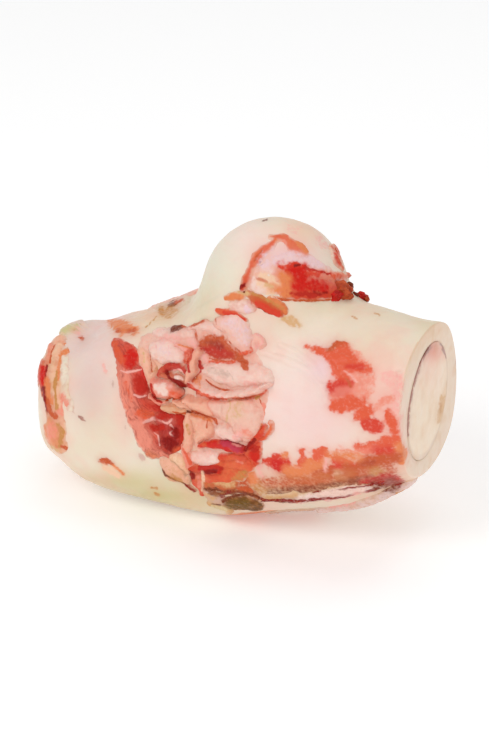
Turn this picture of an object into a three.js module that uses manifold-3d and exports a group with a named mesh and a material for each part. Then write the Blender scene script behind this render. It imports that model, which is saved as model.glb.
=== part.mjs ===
// A raw beef knuckle bone: the sawn ball end of a beef thigh bone, with the marrow showing at the
// saw cut and the meat, fat and sinew that a butcher's knife leaves on it.
// Millimetres, +Z up. X runs along the shaft to the saw cut, Y runs away from the fleshy side.
import * as THREE from "three";
import { ParametricGeometry } from "three/addons/geometries/ParametricGeometry.js";
import { mergeVertices } from "three/addons/utils/BufferGeometryUtils.js";
import Module from "manifold-3d";

const wasm = await Module();
wasm.setup();

// Driving sizes of the bone. The shaft's own axis is the line y = 0, z = 0.
const CUT_X = 80; // the saw cut across the shaft
const END_X = -77.8; // the far end of the trochanter, the big knob beside the hip joint
const CAP_X = -34.4; // where the trochanter starts to round off towards that end
const CAP_POWER = 3.16; // how blunt that end is: 2 is an ellipse, more is boxier
const FLOOR_Z = -55.5; // the flat spot on the underside that the bone rests on
const FLOOR_BLEND = 2; // how softly that spot runs into the round underside
const FLOOR_SNAP = 0.3; // what is this near to the flat spot is level with it
const BALL = { centre: new THREE.Vector3(14.4, 5, 32.2), radius: 27.5, blend: 9 };
const MARROW = { centreY: -5.2, centreZ: 3, halfDepth: 21.5, halfHeight: 22.5, length: 62 };
const MARROW_END = { share: 0.62, power: 8 }; // how much narrower its far end is, and how blunt
const GAP = 0.3; // left between neighbours that touch
const ROOT = 2.5; // how far a remnant's solid starts below the bone's skin, before it is cut back

// Sections square to the shaft, from the trochanter to the saw cut: a superellipse each, turned
// about the shaft by its tilt in degrees.
const SECTIONS = [
  { x: -80, centreY: 2, centreZ: -20.4, halfDepth: 34, halfHeight: 40.8, power: 2.7, tilt: 0 },
  { x: -66, centreY: 2, centreZ: -22.8, halfDepth: 36, halfHeight: 26.7, power: 2.7, tilt: 0 },
  { x: -52, centreY: 2, centreZ: -22.9, halfDepth: 37, halfHeight: 30.9, power: 2.7, tilt: 0 },
  { x: -24, centreY: 2, centreZ: -18.1, halfDepth: 38, halfHeight: 39, power: 2.6, tilt: 0 },
  { x: 2, centreY: 1.5, centreZ: -11.2, halfDepth: 37, halfHeight: 47.4, power: 2.5, tilt: 0 },
  { x: 27, centreY: 0.5, centreZ: -9.1, halfDepth: 35.5, halfHeight: 42.7, power: 2.3, tilt: 0 },
  { x: 60, centreY: -2.5, centreZ: -3.8, halfDepth: 32.5, halfHeight: 38.4, power: 2.05, tilt: 20 },
  { x: 80, centreY: -4.3, centreZ: 3.1, halfDepth: 29.4, halfHeight: 34.5, power: 1.72, tilt: 50 },
];

// The sides that the bone is looked at from, as a turn about Z and a height, in degrees.
const SIDES = {
  front: { azimuth: 23.4, elevation: 25 },
  low: { azimuth: 23.4, elevation: -20 },
  right: { azimuth: 62, elevation: 20 },
  end: { azimuth: -62, elevation: 5 },
  back: { azimuth: 190, elevation: 15 },
};

// Low forms of the bone's own surface, each a soft round rise (or, below 0, a hollow), placed by
// its s (to the right) and t (upwards) in the view from its side.
const RELIEF = [
  { side: "front", s: -12, t: -10, along: 19, across: 22, height: -5.5 }, // the hollow of the neck
  { side: "front", s: -30, t: -12, along: 8, across: 24, height: -2.5 }, // bed of the muscle
  { side: "front", s: -54, t: -14, along: 14, across: 20, height: 2 }, // the gliding face
  { side: "front", s: 30, t: -14, along: 26, across: 16, height: 1.5 }, // swell of the shaft
  { side: "back", s: 28, t: -6, along: 14, across: 16, height: -2.5 }, // groove behind the neck
  { side: "back", s: 54, t: -26, along: 15, across: 16, height: 2.5 }, // ridge of the trochanter
  { side: "end", s: 6, t: -8, along: 13, across: 9, height: -3 }, // dent in the knob's end
];

const RELIEF_FADE = [-6, 10]; // a form grows to its full height between these depths in its view

// What a knife left on the bone. Each piece is a union of rounded strips laid on the surface. A
// strip has its route as [s, t, half width] seen from its side and its height above the bone;
// blunt and boxy say how square its ends and its section are.
const REMNANTS = {
  trochanter_muscle: {
    colour: 0xb8352c,
    roughness: 0.35,
    strips: [
      {
        side: "front",
        route: [
          [-42.5, 10, 3.4], [-39, 3, 4.2], [-35.5, -5, 3.9], [-33.3, -12, 4.6],
          [-29.5, -18.5, 7.4], [-26.8, -25, 8.4], [-26, -33, 6],
        ],
        height: 3.6,
        blunt: 4,
      },
    ],
  },
  neck_fat: {
    colour: 0xf0cdbb,
    roughness: 0.45,
    strips: [
      {
        side: "front",
        route: [[-31, 9, 5], [-18, 6, 9], [-6, -2, 13], [-3, -14, 14], [-5, -25, 12], [-9, -32, 7]],
        height: 2.2,
        boxy: 3,
        blunt: 4,
        sides: 12,
      },
      {
        side: "front",
        route: [[-31.5, 10.5, 3.5], [-25, 8, 4.8], [-19, 8, 5], [-14.5, 10, 3]],
        height: 4.5,
      },
      { side: "front", route: [[-25, 17.5, 3], [-16.5, 14.5, 3.5], [-9, 15, 3]], height: 3.4 },
      {
        side: "front",
        route: [[-13, 11, 2], [-14.2, 5.4, 2.1], [-16, -0.6, 2.1], [-18, -8, 1.7]],
        height: 5.5,
      },
      { side: "front", route: [[-6, 16, 3], [1, 12.5, 6.5], [6.5, 8, 5], [10.5, 5, 2.4]], height: 4.5 },
      { side: "front", route: [[-12, -2, 3.5], [-3.5, -3, 6], [6, -3, 6.4], [13.5, -4.5, 3.5]], height: 6 },
      {
        side: "front",
        route: [
          [-17.5, -6.5, 1.7], [-11, -10, 2.2], [-4.5, -11.8, 2.4], [2, -12, 2.4],
          [8.5, -10, 2.1], [14.5, -6.5, 1.5],
        ],
        height: 7.4,
      },
      {
        side: "front",
        route: [[-17, -13, 3.5], [-8.5, -16, 5.5], [1, -18.5, 8], [8.5, -19.5, 7]],
        height: 6.4,
      },
      { side: "front", route: [[-16.5, -19, 3], [-11.5, -23, 5.5], [-6, -25.5, 4.4]], height: 5.2 },
    ],
  },
  neck_knob: {
    colour: 0xb4493f,
    roughness: 0.3,
    strips: [
      {
        side: "front",
        route: [[-27.5, -4, 2.4], [-23, -2.8, 4], [-18.5, -3, 4], [-17, -8, 2.6]],
        height: 5.2,
      },
      {
        side: "front",
        route: [[-30.5, -5, 2.8], [-28, -9, 4.4], [-23, -9.8, 3.8], [-20, -11, 2.4]],
        height: 6.6,
      },
      { side: "front", route: [[-26.5, -13.5, 2.4], [-21, -15, 3.2], [-16.5, -17, 2]], height: 4.8 },
    ],
  },
  neck_meat: {
    colour: 0xb62f33,
    roughness: 0.3,
    strips: [
      {
        side: "front",
        route: [[-13.5, -30, 2], [-7, -29.5, 3.2], [-1, -31, 3.5], [4.5, -31.8, 2.4]],
        height: 6.4,
      },
      {
        side: "front",
        route: [[15, -20.5, 1.4], [11.5, -25.5, 2], [6.5, -30.5, 3], [4, -35.5, 4], [-1, -39.5, 3.2]],
        height: 4,
      },
      { side: "front", route: [[-16.5, -38.7, 2.4], [-9, -39.5, 2.8], [0, -40, 3.2]], height: 3.6 },
      { side: "front", route: [[-15, -33.5, 2.6], [-10, -34.2, 4], [-4.5, -34, 3]], height: 4.2 },
    ],
  },
  under_fat: {
    colour: 0xe3c9a6,
    roughness: 0.5,
    strips: [
      {
        side: "front",
        route: [[-27, -35, 2.5], [-22.5, -38, 4.8], [-18, -41.5, 4], [-15, -45.5, 2.4]],
        height: 3.8,
      },
      { side: "front", route: [[-15, -46, 2.4], [-7.5, -47.2, 3.6], [-1.5, -48, 2.8]], height: 3.4 },
      { side: "front", route: [[-7, -50, 2.4], [3, -51.5, 3.2], [10, -51.2, 2.2]], height: 3 },
    ],
  },
  shaft_fascia: {
    colour: 0xd8a58f,
    roughness: 0.4,
    strips: [
      {
        side: "low",
        route: [
          [8, -41, 2.6], [21, -36.5, 4], [34, -31, 4.6], [47, -24, 5.4],
          [60, -17, 5.6], [68, -12, 4],
        ],
        height: 2.4,
        boxy: 2.6,
      },
      {
        side: "low",
        route: [[36, -31, 2.6], [48, -24.5, 4.2], [60, -18, 5], [68, -13.5, 3.6]],
        height: 6.2,
      },
      {
        side: "front",
        route: [[21, -49.3, 1.4], [33.5, -47.5, 2.2], [44.5, -46, 2.2], [52, -44, 1.6]],
        height: 2.2,
      },
    ],
  },
  ball_meat: {
    colour: 0xc2402f,
    roughness: 0.32,
    strips: [
      {
        side: "front",
        route: [[14, 30, 3.5], [21, 30.5, 5.2], [29.5, 30, 5.2], [38, 28.5, 4]],
        height: 2.6,
      },
      { side: "front", route: [[25, 36.3, 1.6], [32, 34.3, 2.2], [40, 32.8, 2]], height: 3.2 },
      {
        side: "front",
        route: [[3.5, 28.2, 1.2], [10.5, 26.3, 1.4], [17.5, 25, 1.8], [26, 24.6, 2], [36, 25.6, 2]],
        height: 4,
      },
      {
        side: "front",
        route: [
          [3, 28.5, 1.3], [4.5, 33.5, 1.3], [8, 39.3, 1.5], [11.5, 43, 1.3],
          [15.5, 46.7, 1.4], [20.5, 45.6, 1.3], [25.5, 41, 1.7],
        ],
        height: 1.2,
      },
      { side: "front", route: [[34, 27, 2.5], [39.5, 28, 4], [44, 27, 2.6]], height: 5 },
      { side: "front", route: [[42.5, 26.5, 1.8], [46.5, 24.8, 2.2], [50, 23.6, 1.5]], height: 2.6 },
    ],
  },
  neck_sinew: {
    colour: 0xd77c4a,
    roughness: 0.4,
    strips: [
      { side: "front", route: [[-1, 21.5, 1.6], [4, 21.4, 2.8], [8.5, 20.6, 2.2]], height: 3.6 },
      {
        side: "front",
        route: [[3.5, 26, 1.5], [9.5, 23.8, 2.8], [16, 21, 3.2], [21, 18, 1.6]],
        height: 1.8,
      },
    ],
  },
  end_fold: {
    colour: 0xe2b893,
    roughness: 0.45,
    strips: [
      {
        side: "front",
        route: [
          [-66.5, 14.5, 1.6], [-66, 8.5, 1.7], [-67.6, -1.3, 2.4], [-67, -11, 2.4],
          [-65, -18, 2], [-67, -23, 2.4],
        ],
        height: 2,
      },
      {
        side: "front",
        route: [[-71.5, 7, 1.4], [-73, -3.2, 2], [-72.4, -12, 2], [-69.5, -20, 1.8]],
        height: 1.8,
      },
      { side: "front", route: [[-69.5, -19.5, 2.4], [-68.8, -28, 3.8], [-66.5, -34, 2]], height: 2 },
      { side: "front", route: [[-68, 14, 1.8], [-63, 15.7, 2.4], [-58, 16.8, 1.6]], height: 1.8 },
    ],
  },
  back_meat: {
    colour: 0xb23a30,
    roughness: 0.35,
    strips: [
      {
        side: "back",
        route: [[-50, 10, 2.6], [-38, 4, 4.5], [-22, -5, 6], [-6, -10, 5], [8, -19, 3]],
        height: 3,
        blunt: 3,
      },
      { side: "back", route: [[-26, -4, 3], [-20, -16, 5], [-10, -26, 4]], height: 3.4 },
    ],
  },
  back_fat: {
    colour: 0xeed3b4,
    roughness: 0.45,
    strips: [
      { side: "back", route: [[12, 13, 4], [24, 8, 7], [36, -2, 5.5]], height: 4.2 },
      { side: "back", route: [[18, -2, 4], [28, -10, 7], [35, -24, 4.5]], height: 4.6 },
      { side: "back", route: [[8, 4, 3], [16, 0, 5], [24, -2, 4]], height: 3 },
    ],
  },
};

// Numbers of facets.
const BONE_ROWS = 48; // from the trochanter's end to the rim of the saw cut
const FACE_ROWS = 2; // across the saw cut
const BORE_ROWS = 4; // along the marrow's hole
const BORE_EASE = 0.6; // draws those rows together towards its round end
const BONE_COLUMNS = 46; // round the shaft
const CAP_ROWS = 0.3; // share of the bone's rows that goes to the rounding of its far end
const CROWDING = 0.4; // how much closer the facets lie over the ball than elsewhere
const FAN = { x: 8, spread: 0.8, spreadUnderBall: 0.25 }; // the line inside that rays start from
const AIM_RADIUS = 31; // of the tube that they aim at
const RAY_LENGTH = 140; // longer than any way from that line to the skin
const HALVINGS = 26; // of a ray, to find the skin on it
const SIGHT = { near: 90, far: -60, leastStep: 0.6, stride: 0.7, last: 5 }; // the march inwards
const SLOPE_STEP = 0.05; // between the two samples that give the field's slope
const STRIP_STEPS = 10; // along a remnant's strip, at least
const STRIP_SIDES = 10; // round it

// The value at x of the smooth curve through one key of SECTIONS: cubic, with the slope at a
// section taken from its two neighbours.
function sectionValue(x, key) {
  const last = SECTIONS.length - 1;
  const at = THREE.MathUtils.clamp(x, SECTIONS[0].x, SECTIONS[last].x);
  let i = 0;
  while (i < last - 1 && at > SECTIONS[i + 1].x) i++;
  const slope = (k) => {
    const a = SECTIONS[Math.max(k - 1, 0)];
    const b = SECTIONS[Math.min(k + 1, last)];
    return (b[key] - a[key]) / (b.x - a.x);
  };
  const span = SECTIONS[i + 1].x - SECTIONS[i].x;
  const q = (at - SECTIONS[i].x) / span;
  const q2 = q * q;
  const q3 = q2 * q;
  return (
    (2 * q3 - 3 * q2 + 1) * SECTIONS[i][key] +
    (q3 - 2 * q2 + q) * span * slope(i) +
    (3 * q2 - 2 * q3) * SECTIONS[i + 1][key] +
    (q3 - q2) * span * slope(i + 1)
  );
}

// The middle of the section at x.
function axisPoint(x) {
  return new THREE.Vector3(x, sectionValue(x, "centreY"), sectionValue(x, "centreZ"));
}

// The lesser of a and b, with the corner between them rounded over a width of k.
function softMin(a, b, k) {
  const h = THREE.MathUtils.clamp(0.5 + (0.5 * (b - a)) / k, 0, 1);
  return b * (1 - h) + a * h - k * h * (1 - h);
}

// The three directions of a view: right, up, and out of the bone towards the eye.
function viewOf({ azimuth, elevation }) {
  const a = THREE.MathUtils.degToRad(azimuth);
  const e = THREE.MathUtils.degToRad(elevation);
  const right = new THREE.Vector3(Math.cos(a), Math.sin(a), 0);
  const out = new THREE.Vector3(Math.sin(a) * Math.cos(e), -Math.cos(a) * Math.cos(e), Math.sin(e));
  return { right, out, up: out.clone().cross(right) };
}
const VIEWS = Object.fromEntries(Object.entries(SIDES).map(([name, side]) => [name, viewOf(side)]));

// The sum of the low forms at p.
function reliefAt(p) {
  let sum = 0;
  for (const form of RELIEF) {
    const view = VIEWS[form.side];
    const ds = (p.dot(view.right) - form.s) / form.along;
    const dt = (p.dot(view.up) - form.t) / form.across;
    const facing = THREE.MathUtils.smoothstep(p.dot(view.out), ...RELIEF_FADE);
    sum += form.height * facing * Math.exp(-ds * ds - dt * dt);
  }
  return sum;
}

// Below 0 inside the bone, above 0 outside, and about the distance to its surface in between.
function boneField(p) {
  const power = sectionValue(p.x, "power");
  const halfDepth = sectionValue(p.x, "halfDepth");
  const halfHeight = sectionValue(p.x, "halfHeight");
  const tilt = THREE.MathUtils.degToRad(sectionValue(p.x, "tilt"));
  const y = p.y - sectionValue(p.x, "centreY");
  const z = p.z - sectionValue(p.x, "centreZ");
  const deep = Math.abs(y * Math.cos(tilt) + z * Math.sin(tilt)) / halfDepth;
  const high = Math.abs(z * Math.cos(tilt) - y * Math.sin(tilt)) / halfHeight;
  const round = (deep ** power + high ** power) ** (1 / power);
  const capped = Math.max(0, (CAP_X - p.x) / (CAP_X - END_X));
  const whole = (round ** CAP_POWER + capped ** CAP_POWER) ** (1 / CAP_POWER);
  const body = (whole - 1) * Math.min(halfDepth, halfHeight);
  const ball = p.distanceTo(BALL.centre) - BALL.radius;
  const joined = softMin(body - reliefAt(p), ball, BALL.blend);
  return -softMin(-joined, p.z - FLOOR_Z, FLOOR_BLEND);
}

// The field's slope at p, as a unit vector that points out of the bone.
function outwardAt(p) {
  const slope = (dx, dy, dz) =>
    boneField(new THREE.Vector3(p.x + dx, p.y + dy, p.z + dz)) -
    boneField(new THREE.Vector3(p.x - dx, p.y - dy, p.z - dz));
  const h = SLOPE_STEP;
  return new THREE.Vector3(slope(h, 0, 0), slope(0, h, 0), slope(0, 0, h)).normalize();
}

// The distance along a ray at which the field rises through a level, between low and high.
function crossing(origin, direction, low, high, level) {
  const p = new THREE.Vector3();
  for (let i = 0; i < HALVINGS; i++) {
    const middle = (low + high) / 2;
    if (boneField(p.copy(direction).multiplyScalar(middle).add(origin)) < level) low = middle;
    else high = middle;
  }
  return (low + high) / 2;
}

// A point of the bone's skin, grown outwards by `grow`. q runs from the trochanter's end to the
// rim of the cut, turn goes once round. The rays come from a line inside the bone, drawn together
// under the ball so that they fan out over it and square to the shaft at the cut, and they aim at
// a tube round that line. Both ways they lie closer together towards the ball.
function skinPoint(q, turn, grow) {
  const capAngle = Math.min(q / CAP_ROWS, 1) * (Math.PI / 2);
  const share = Math.max(0, (q - CAP_ROWS) / (1 - CAP_ROWS));
  const ballShare = (BALL.centre.x - CAP_X) / (CUT_X - CAP_X);
  const ease = (k) => Math.sin(2 * Math.PI * (k - ballShare + 0.5)) / (2 * Math.PI);
  const eased = share + CROWDING * (ease(share) - ease(0));
  const inCap = q < CAP_ROWS;
  const x = inCap ? CAP_X - (CAP_X - END_X) * Math.cos(capAngle) : CAP_X + (CUT_X - CAP_X) * eased;
  const angle = turn + CROWDING * Math.cos(turn);
  const [c, s] = [Math.cos(angle), Math.sin(angle)];
  const reach = AIM_RADIUS * (inCap ? Math.sin(capAngle) : 1);
  const aim = axisPoint(x).add(new THREE.Vector3(0, reach * c, reach * s));
  const spread = THREE.MathUtils.lerp(FAN.spread, FAN.spreadUnderBall, Math.max(s, 0) ** 2);
  const nearCut = THREE.MathUtils.clamp((x - FAN.x) / (CUT_X - FAN.x), 0, 1) ** 4;
  const origin = axisPoint(FAN.x + (x - FAN.x) * THREE.MathUtils.lerp(spread, 1, nearCut));
  const direction = aim.clone().sub(origin).normalize();
  const p = direction.clone().multiplyScalar(crossing(origin, direction, 0, RAY_LENGTH, grow)).add(origin);
  if (p.z < FLOOR_Z - grow + FLOOR_SNAP) p.z = FLOOR_Z - grow;
  return p;
}

// The marrow's outline at a share of its length behind the cut, smaller towards its round end.
function marrowPoint(share, angle, shrink) {
  const size = (1 - (1 - MARROW_END.share) * share) * Math.sqrt(1 - share ** MARROW_END.power);
  return new THREE.Vector3(
    CUT_X - share * (MARROW.length - shrink),
    Math.max(MARROW.halfDepth * size - shrink, 0) * Math.cos(angle) + MARROW.centreY,
    Math.max(MARROW.halfHeight * size - shrink, 0) * Math.sin(angle) + MARROW.centreZ,
  );
}

// A closed parametric surface as a solid: seams and poles merged, collapsed faces dropped.
function solidOf(geometry) {
  geometry.deleteAttribute("normal");
  geometry.deleteAttribute("uv");
  const merged = mergeVertices(geometry, 1e-3);
  const index = merged.index.array;
  const triVerts = [];
  for (let i = 0; i < index.length; i += 3) {
    const [a, b, c] = [index[i], index[i + 1], index[i + 2]];
    if (a !== b && b !== c && c !== a) triVerts.push(a, b, c);
  }
  return new wasm.Manifold(
    new wasm.Mesh({
      numProp: 3,
      vertProperties: new Float32Array(merged.attributes.position.array),
      triVerts: new Uint32Array(triVerts),
    }),
  );
}

// The bone as one grid. Its rows run over the skin, in across the saw cut and down the marrow's
// hole, and meet at a point in both ends. A grown bone has no hole: it only cuts its neighbours.
function boneSolid(grow) {
  const bored = grow === 0;
  const rows = BONE_ROWS + FACE_ROWS + (bored ? BORE_ROWS : 0);
  return solidOf(
    new ParametricGeometry(
      (u, v, target) => {
        const angle = -v * 2 * Math.PI;
        const row = u * rows;
        const rim = skinPoint(Math.min(row / BONE_ROWS, 1), angle, grow);
        const round = angle + CROWDING * Math.cos(angle);
        if (row >= BONE_ROWS) rim.x += grow;
        const inward = THREE.MathUtils.clamp((row - BONE_ROWS) / FACE_ROWS, 0, 1);
        const middle = new THREE.Vector3(CUT_X + grow, MARROW.centreY, MARROW.centreZ);
        const mouth = bored ? marrowPoint(0, round, 0) : middle;
        target.copy(rim).lerp(mouth, inward);
        const deep = (row - BONE_ROWS - FACE_ROWS) / BORE_ROWS;
        if (bored && deep > 0) target.copy(marrowPoint(deep ** BORE_EASE, round, 0));
      },
      rows,
      BONE_COLUMNS,
    ),
  );
}

// The marrow: a plug that fills its hole and ends flush with the saw cut.
function marrowSolid() {
  const rows = BORE_ROWS + 1;
  return solidOf(
    new ParametricGeometry(
      (u, v, target) => {
        const row = u * rows;
        const angle = -v * 2 * Math.PI;
        const share = Math.max(0, 1 - row / BORE_ROWS) ** BORE_EASE;
        if (row > BORE_ROWS) target.set(CUT_X, MARROW.centreY, MARROW.centreZ);
        else target.copy(marrowPoint(share, angle + CROWDING * Math.cos(angle), GAP));
      },
      rows,
      BONE_COLUMNS,
    ),
  );
}

// The bone's surface seen at [s, t] from a side: the first crossing on the way in, or beside the
// bone the place on the line of sight that is nearest to it.
function onBone(view, s, t) {
  const start = view.right.clone().multiplyScalar(s).addScaledVector(view.up, t);
  const p = new THREE.Vector3();
  let nearest = { depth: SIGHT.near, value: Infinity };
  for (let depth = SIGHT.near; depth > SIGHT.far && nearest.value > 0; ) {
    const value = boneField(p.copy(start).addScaledVector(view.out, depth));
    if (value < nearest.value) nearest = { depth, value };
    depth -= Math.max(SIGHT.leastStep, value * SIGHT.stride);
  }
  const hit = nearest.value < 0;
  const found = hit ? crossing(start, view.out, nearest.depth, nearest.depth + SIGHT.last, 0) : nearest.depth;
  return start.addScaledVector(view.out, found);
}

// One strip laid on the bone: a closed tube whose section is an arch above the skin and a shallow
// root below it. `grow` thickens it all round.
function stripSolid({ side, route, height, blunt = 2.4, boxy = 2, sides = STRIP_SIDES }, grow) {
  const view = VIEWS[side];
  const curve = new THREE.CatmullRomCurve3(route.map((point) => new THREE.Vector3(...point)));
  const steps = Math.max(STRIP_STEPS, 2 * route.length);
  return solidOf(
    new ParametricGeometry(
      (u, v, target) => {
        const end = Math.abs(2 * u - 1);
        const taper = Math.max(0, 1 - end ** blunt) ** (1 / blunt);
        const along = curve.getTangent(u).setZ(0).normalize();
        const middle = curve.getPoint(u);
        const angle = -v * 2 * Math.PI;
        const [c, n] = [Math.cos(angle), Math.sin(angle)];
        const wide = (middle.z + grow) * taper * Math.sign(c) * Math.abs(c) ** (2 / boxy);
        const rise = (n > 0 ? height + grow : ROOT) * taper * Math.sign(n) * Math.abs(n) ** (2 / boxy);
        const foot = onBone(view, middle.x - along.y * wide, middle.y + along.x * wide);
        target.copy(foot).addScaledVector(outwardAt(foot), rise);
      },
      steps,
      sides,
    ),
  );
}

// A manifold solid as a named mesh.
function meshOf(name, solid, colour, roughness) {
  const { numProp, vertProperties, triVerts } = solid.getMesh();
  const position = new Float32Array((vertProperties.length / numProp) * 3);
  for (let i = 0; i < position.length / 3; i++) {
    position.set(vertProperties.subarray(i * numProp, i * numProp + 3), i * 3);
  }
  const geometry = new THREE.BufferGeometry();
  geometry.setAttribute("position", new THREE.BufferAttribute(position, 3));
  geometry.setIndex(new THREE.BufferAttribute(triVerts, 1));
  geometry.computeVertexNormals();
  const material = new THREE.MeshStandardMaterial({ color: colour, roughness, metalness: 0 });
  const mesh = new THREE.Mesh(geometry, material);
  mesh.name = name;
  return mesh;
}

// The largest separate body of a solid, which drops the crumbs that a cut leaves.
function largestBody(solid) {
  return solid.decompose().reduce((best, body) => (body.volume() > best.volume() ? body : best));
}

const bone = boneSolid(0);
const group = new THREE.Group();
group.name = "knuckle_bone";
group.add(meshOf("bone", bone, 0xe9d6b8, 0.5));
group.add(meshOf("marrow", marrowSolid(), 0xead2b6, 0.4));

// Each remnant gives way to the bone and to the remnants before it.
let taken = boneSolid(GAP);
for (const [name, { colour, roughness, strips }] of Object.entries(REMNANTS)) {
  const joined = wasm.Manifold.union(strips.map((strip) => stripSolid(strip, 0)));
  group.add(meshOf(name, largestBody(joined.subtract(taken)), colour, roughness));
  taken = taken.add(wasm.Manifold.union(strips.map((strip) => stripSolid(strip, GAP))));
}

// The origin is the middle of the underside.
const box = new THREE.Box3().setFromObject(group);
const middle = box.getCenter(new THREE.Vector3());
for (const mesh of group.children) mesh.position.set(-middle.x, -middle.y, -box.min.z);

export default group;
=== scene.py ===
"""The looks of a raw beef knuckle bone: the sawn ball end of a beef thigh bone.

The bone and the marrow are finer skins of the frame's own solids. What the knife left on the bone
is laid on it as sheets of rolls. Shapes are in millimetres about the shaft's axis and are moved
into the frame, in metres, as each mesh is made.
"""
import logging
import math
from dataclasses import dataclass, field
from enum import Enum
from functools import cached_property

import bpy
import numpy as np
from mathutils import Matrix, Vector


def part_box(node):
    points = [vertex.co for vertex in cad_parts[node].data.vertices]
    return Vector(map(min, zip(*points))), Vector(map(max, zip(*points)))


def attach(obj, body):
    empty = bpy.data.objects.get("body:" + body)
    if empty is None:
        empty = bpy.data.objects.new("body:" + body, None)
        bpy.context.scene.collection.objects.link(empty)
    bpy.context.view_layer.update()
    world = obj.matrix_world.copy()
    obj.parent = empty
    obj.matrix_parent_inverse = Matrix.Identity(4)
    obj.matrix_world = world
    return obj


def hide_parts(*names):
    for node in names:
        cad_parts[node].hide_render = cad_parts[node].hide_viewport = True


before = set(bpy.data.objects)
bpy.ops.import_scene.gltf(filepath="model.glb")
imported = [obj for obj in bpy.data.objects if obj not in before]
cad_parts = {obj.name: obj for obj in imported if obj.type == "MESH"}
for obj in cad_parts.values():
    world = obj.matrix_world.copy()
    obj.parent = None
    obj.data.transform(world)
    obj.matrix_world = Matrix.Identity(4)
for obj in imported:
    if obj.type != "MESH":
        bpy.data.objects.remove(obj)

LOG = logging.getLogger("knuckle_bone")
MM = 0.001
# In millimetres: the saw cut's x, the height of the spot it rests on, the marrow's middle.
CUT_X = 80.0
FLOOR_Z = -55.5
MARROW_CENTRE_Y = -5.2
# What clouds() hashes its lattice with, and how far apart its patterns lie.
CLOUD_PRIMES = (73856093, 19349663, 83492791)
CLOUD_MIX = np.uint64(1274126177)
CLOUD_SEED_STEP = 71.3
CLOUD_OCTAVE_STEP = 13.7
CLOUD_GAIN = 1.6
# What a stroke gives a point far outside it, and the narrowest that it is taken to be.
FAR_EDGE = 99.0
FAR_REACH = 9.0
LEAST_HALF_WIDTH = 0.05


class Tone(Enum):
    """Colours of raw bone, gristle, fat, sinew and meat, and of painted highlights and painted shade, as sRGB
    hex digits.
    """

    CREAM = "e8d8bf"
    IVORY = "ece0cd"
    GREY_CREAM = "e6e0cc"
    STRAW = "dfcb9f"
    OLIVE_TINT = "cfc48f"
    ROSE = "f6dcd3"
    PINK = "f2cdc8"
    LAVENDER = "ecc8cb"
    BLUSH = "f3b0a4"
    GRISTLE = "e9cdc6"
    PEACH = "f2c8a8"
    TAN = "dcae7c"
    OCHRE = "c98a4c"
    SALMON = "ee907a"
    ORANGE = "e58450"
    RUST = "c8562a"
    CORAL = "e25c3a"
    VERMILION = "d8402a"
    SCARLET = "d01a0e"
    RED = "bf2a1c"
    CRIMSON = "b41414"
    MAGENTA = "c23a4e"
    OXBLOOD = "8a1008"
    BROWN = "7a3010"
    UMBER = "5e3a08"
    PLUM = "b07c6e"
    SAW = "edd6c0"
    CLAY = "d8b4a4"
    OLIVE = "705008"
    FAT = "eebfac"
    # Also the colour of painted highlights on the knob.
    FAT_AND_HIGHLIGHT_WHITE = "f2cfc1"
    FAT_PEACH = "efb498"
    FAT_TAN = "e2ac88"
    MARROW = "f4dcc2"

    @property
    def linear(self) -> np.ndarray:
        """The colour as linear red, green and blue."""
        code = np.array([int(self.value[i : i + 2], 16) for i in (0, 2, 4)]) / 255
        return np.where(code <= 0.04045, code / 12.92, ((code + 0.055) / 1.055) ** 2.4)


def unit(vectors: np.ndarray) -> np.ndarray:
    """Vectors divided by their lengths, along the last axis."""
    return vectors / np.maximum(np.linalg.norm(vectors, axis=-1, keepdims=True), 1e-12)


def ramp(value: np.ndarray, low: float, high: float) -> np.ndarray:
    """The smooth step 3k squared minus 2k cubed, where k runs from 0 at low to 1 at high."""
    k = np.clip((value - low) / (high - low), 0.0, 1.0)
    return k * k * (3 - 2 * k)


def soft_min(a: np.ndarray, b: np.ndarray, width: float) -> np.ndarray:
    """The lesser of a and b, with the corner between them rounded over a width.

    The two are blended by h, which runs from 0 to 1 across the corner, less width times h(1 - h).
    """
    h = np.clip(0.5 + 0.5 * (b - a) / width, 0.0, 1.0)
    return b * (1 - h) + a * h - width * h * (1 - h)


def clouds(points: np.ndarray, grain: float, seed: int = 0, octaves: int = 3) -> np.ndarray:
    """Value noise between about -1 and 1.

    Each octave hashes the corners of a cubic lattice and blends them with the quintic
    6k^5 - 15k^4 + 10k^3. The next one has half its size and half its height.

    Args:
        points: Places, in millimetres, shape (..., 3).
        grain: Size of the first octave's cells.
        seed: Chooses the pattern.
        octaves: How many are summed.

    Returns:
        One value for each point.
    """
    total = np.zeros(points.shape[:-1])
    height = 0.5
    for octave in range(octaves):
        at = points / grain * 2.0**octave + CLOUD_SEED_STEP * (seed + 1) + CLOUD_OCTAVE_STEP * octave
        cell = np.floor(at).astype(np.int64)
        k = at - cell
        k = k * k * k * (k * (k * 6 - 15) + 10)
        value = 0.0
        for corner in range(8):
            step = np.array([corner & 1, corner >> 1 & 1, corner >> 2 & 1])
            node = ((cell + step) & 0xFFFF).astype(np.uint64)
            mixed = node[..., 0] * CLOUD_PRIMES[0] ^ node[..., 1] * CLOUD_PRIMES[1]
            mixed = mixed ^ node[..., 2] * CLOUD_PRIMES[2]
            mixed = (mixed ^ mixed >> np.uint64(13)) * CLOUD_MIX & np.uint64(0xFFFFFFFF)
            mixed = (mixed ^ mixed >> np.uint64(16)) & np.uint64(0xFFFF)
            weight = np.prod(np.where(step, k, 1 - k), axis=-1)
            value = value + weight * (mixed / 32767.5 - 1)
        total += height * value
        height /= 2
    return total * CLOUD_GAIN


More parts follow.
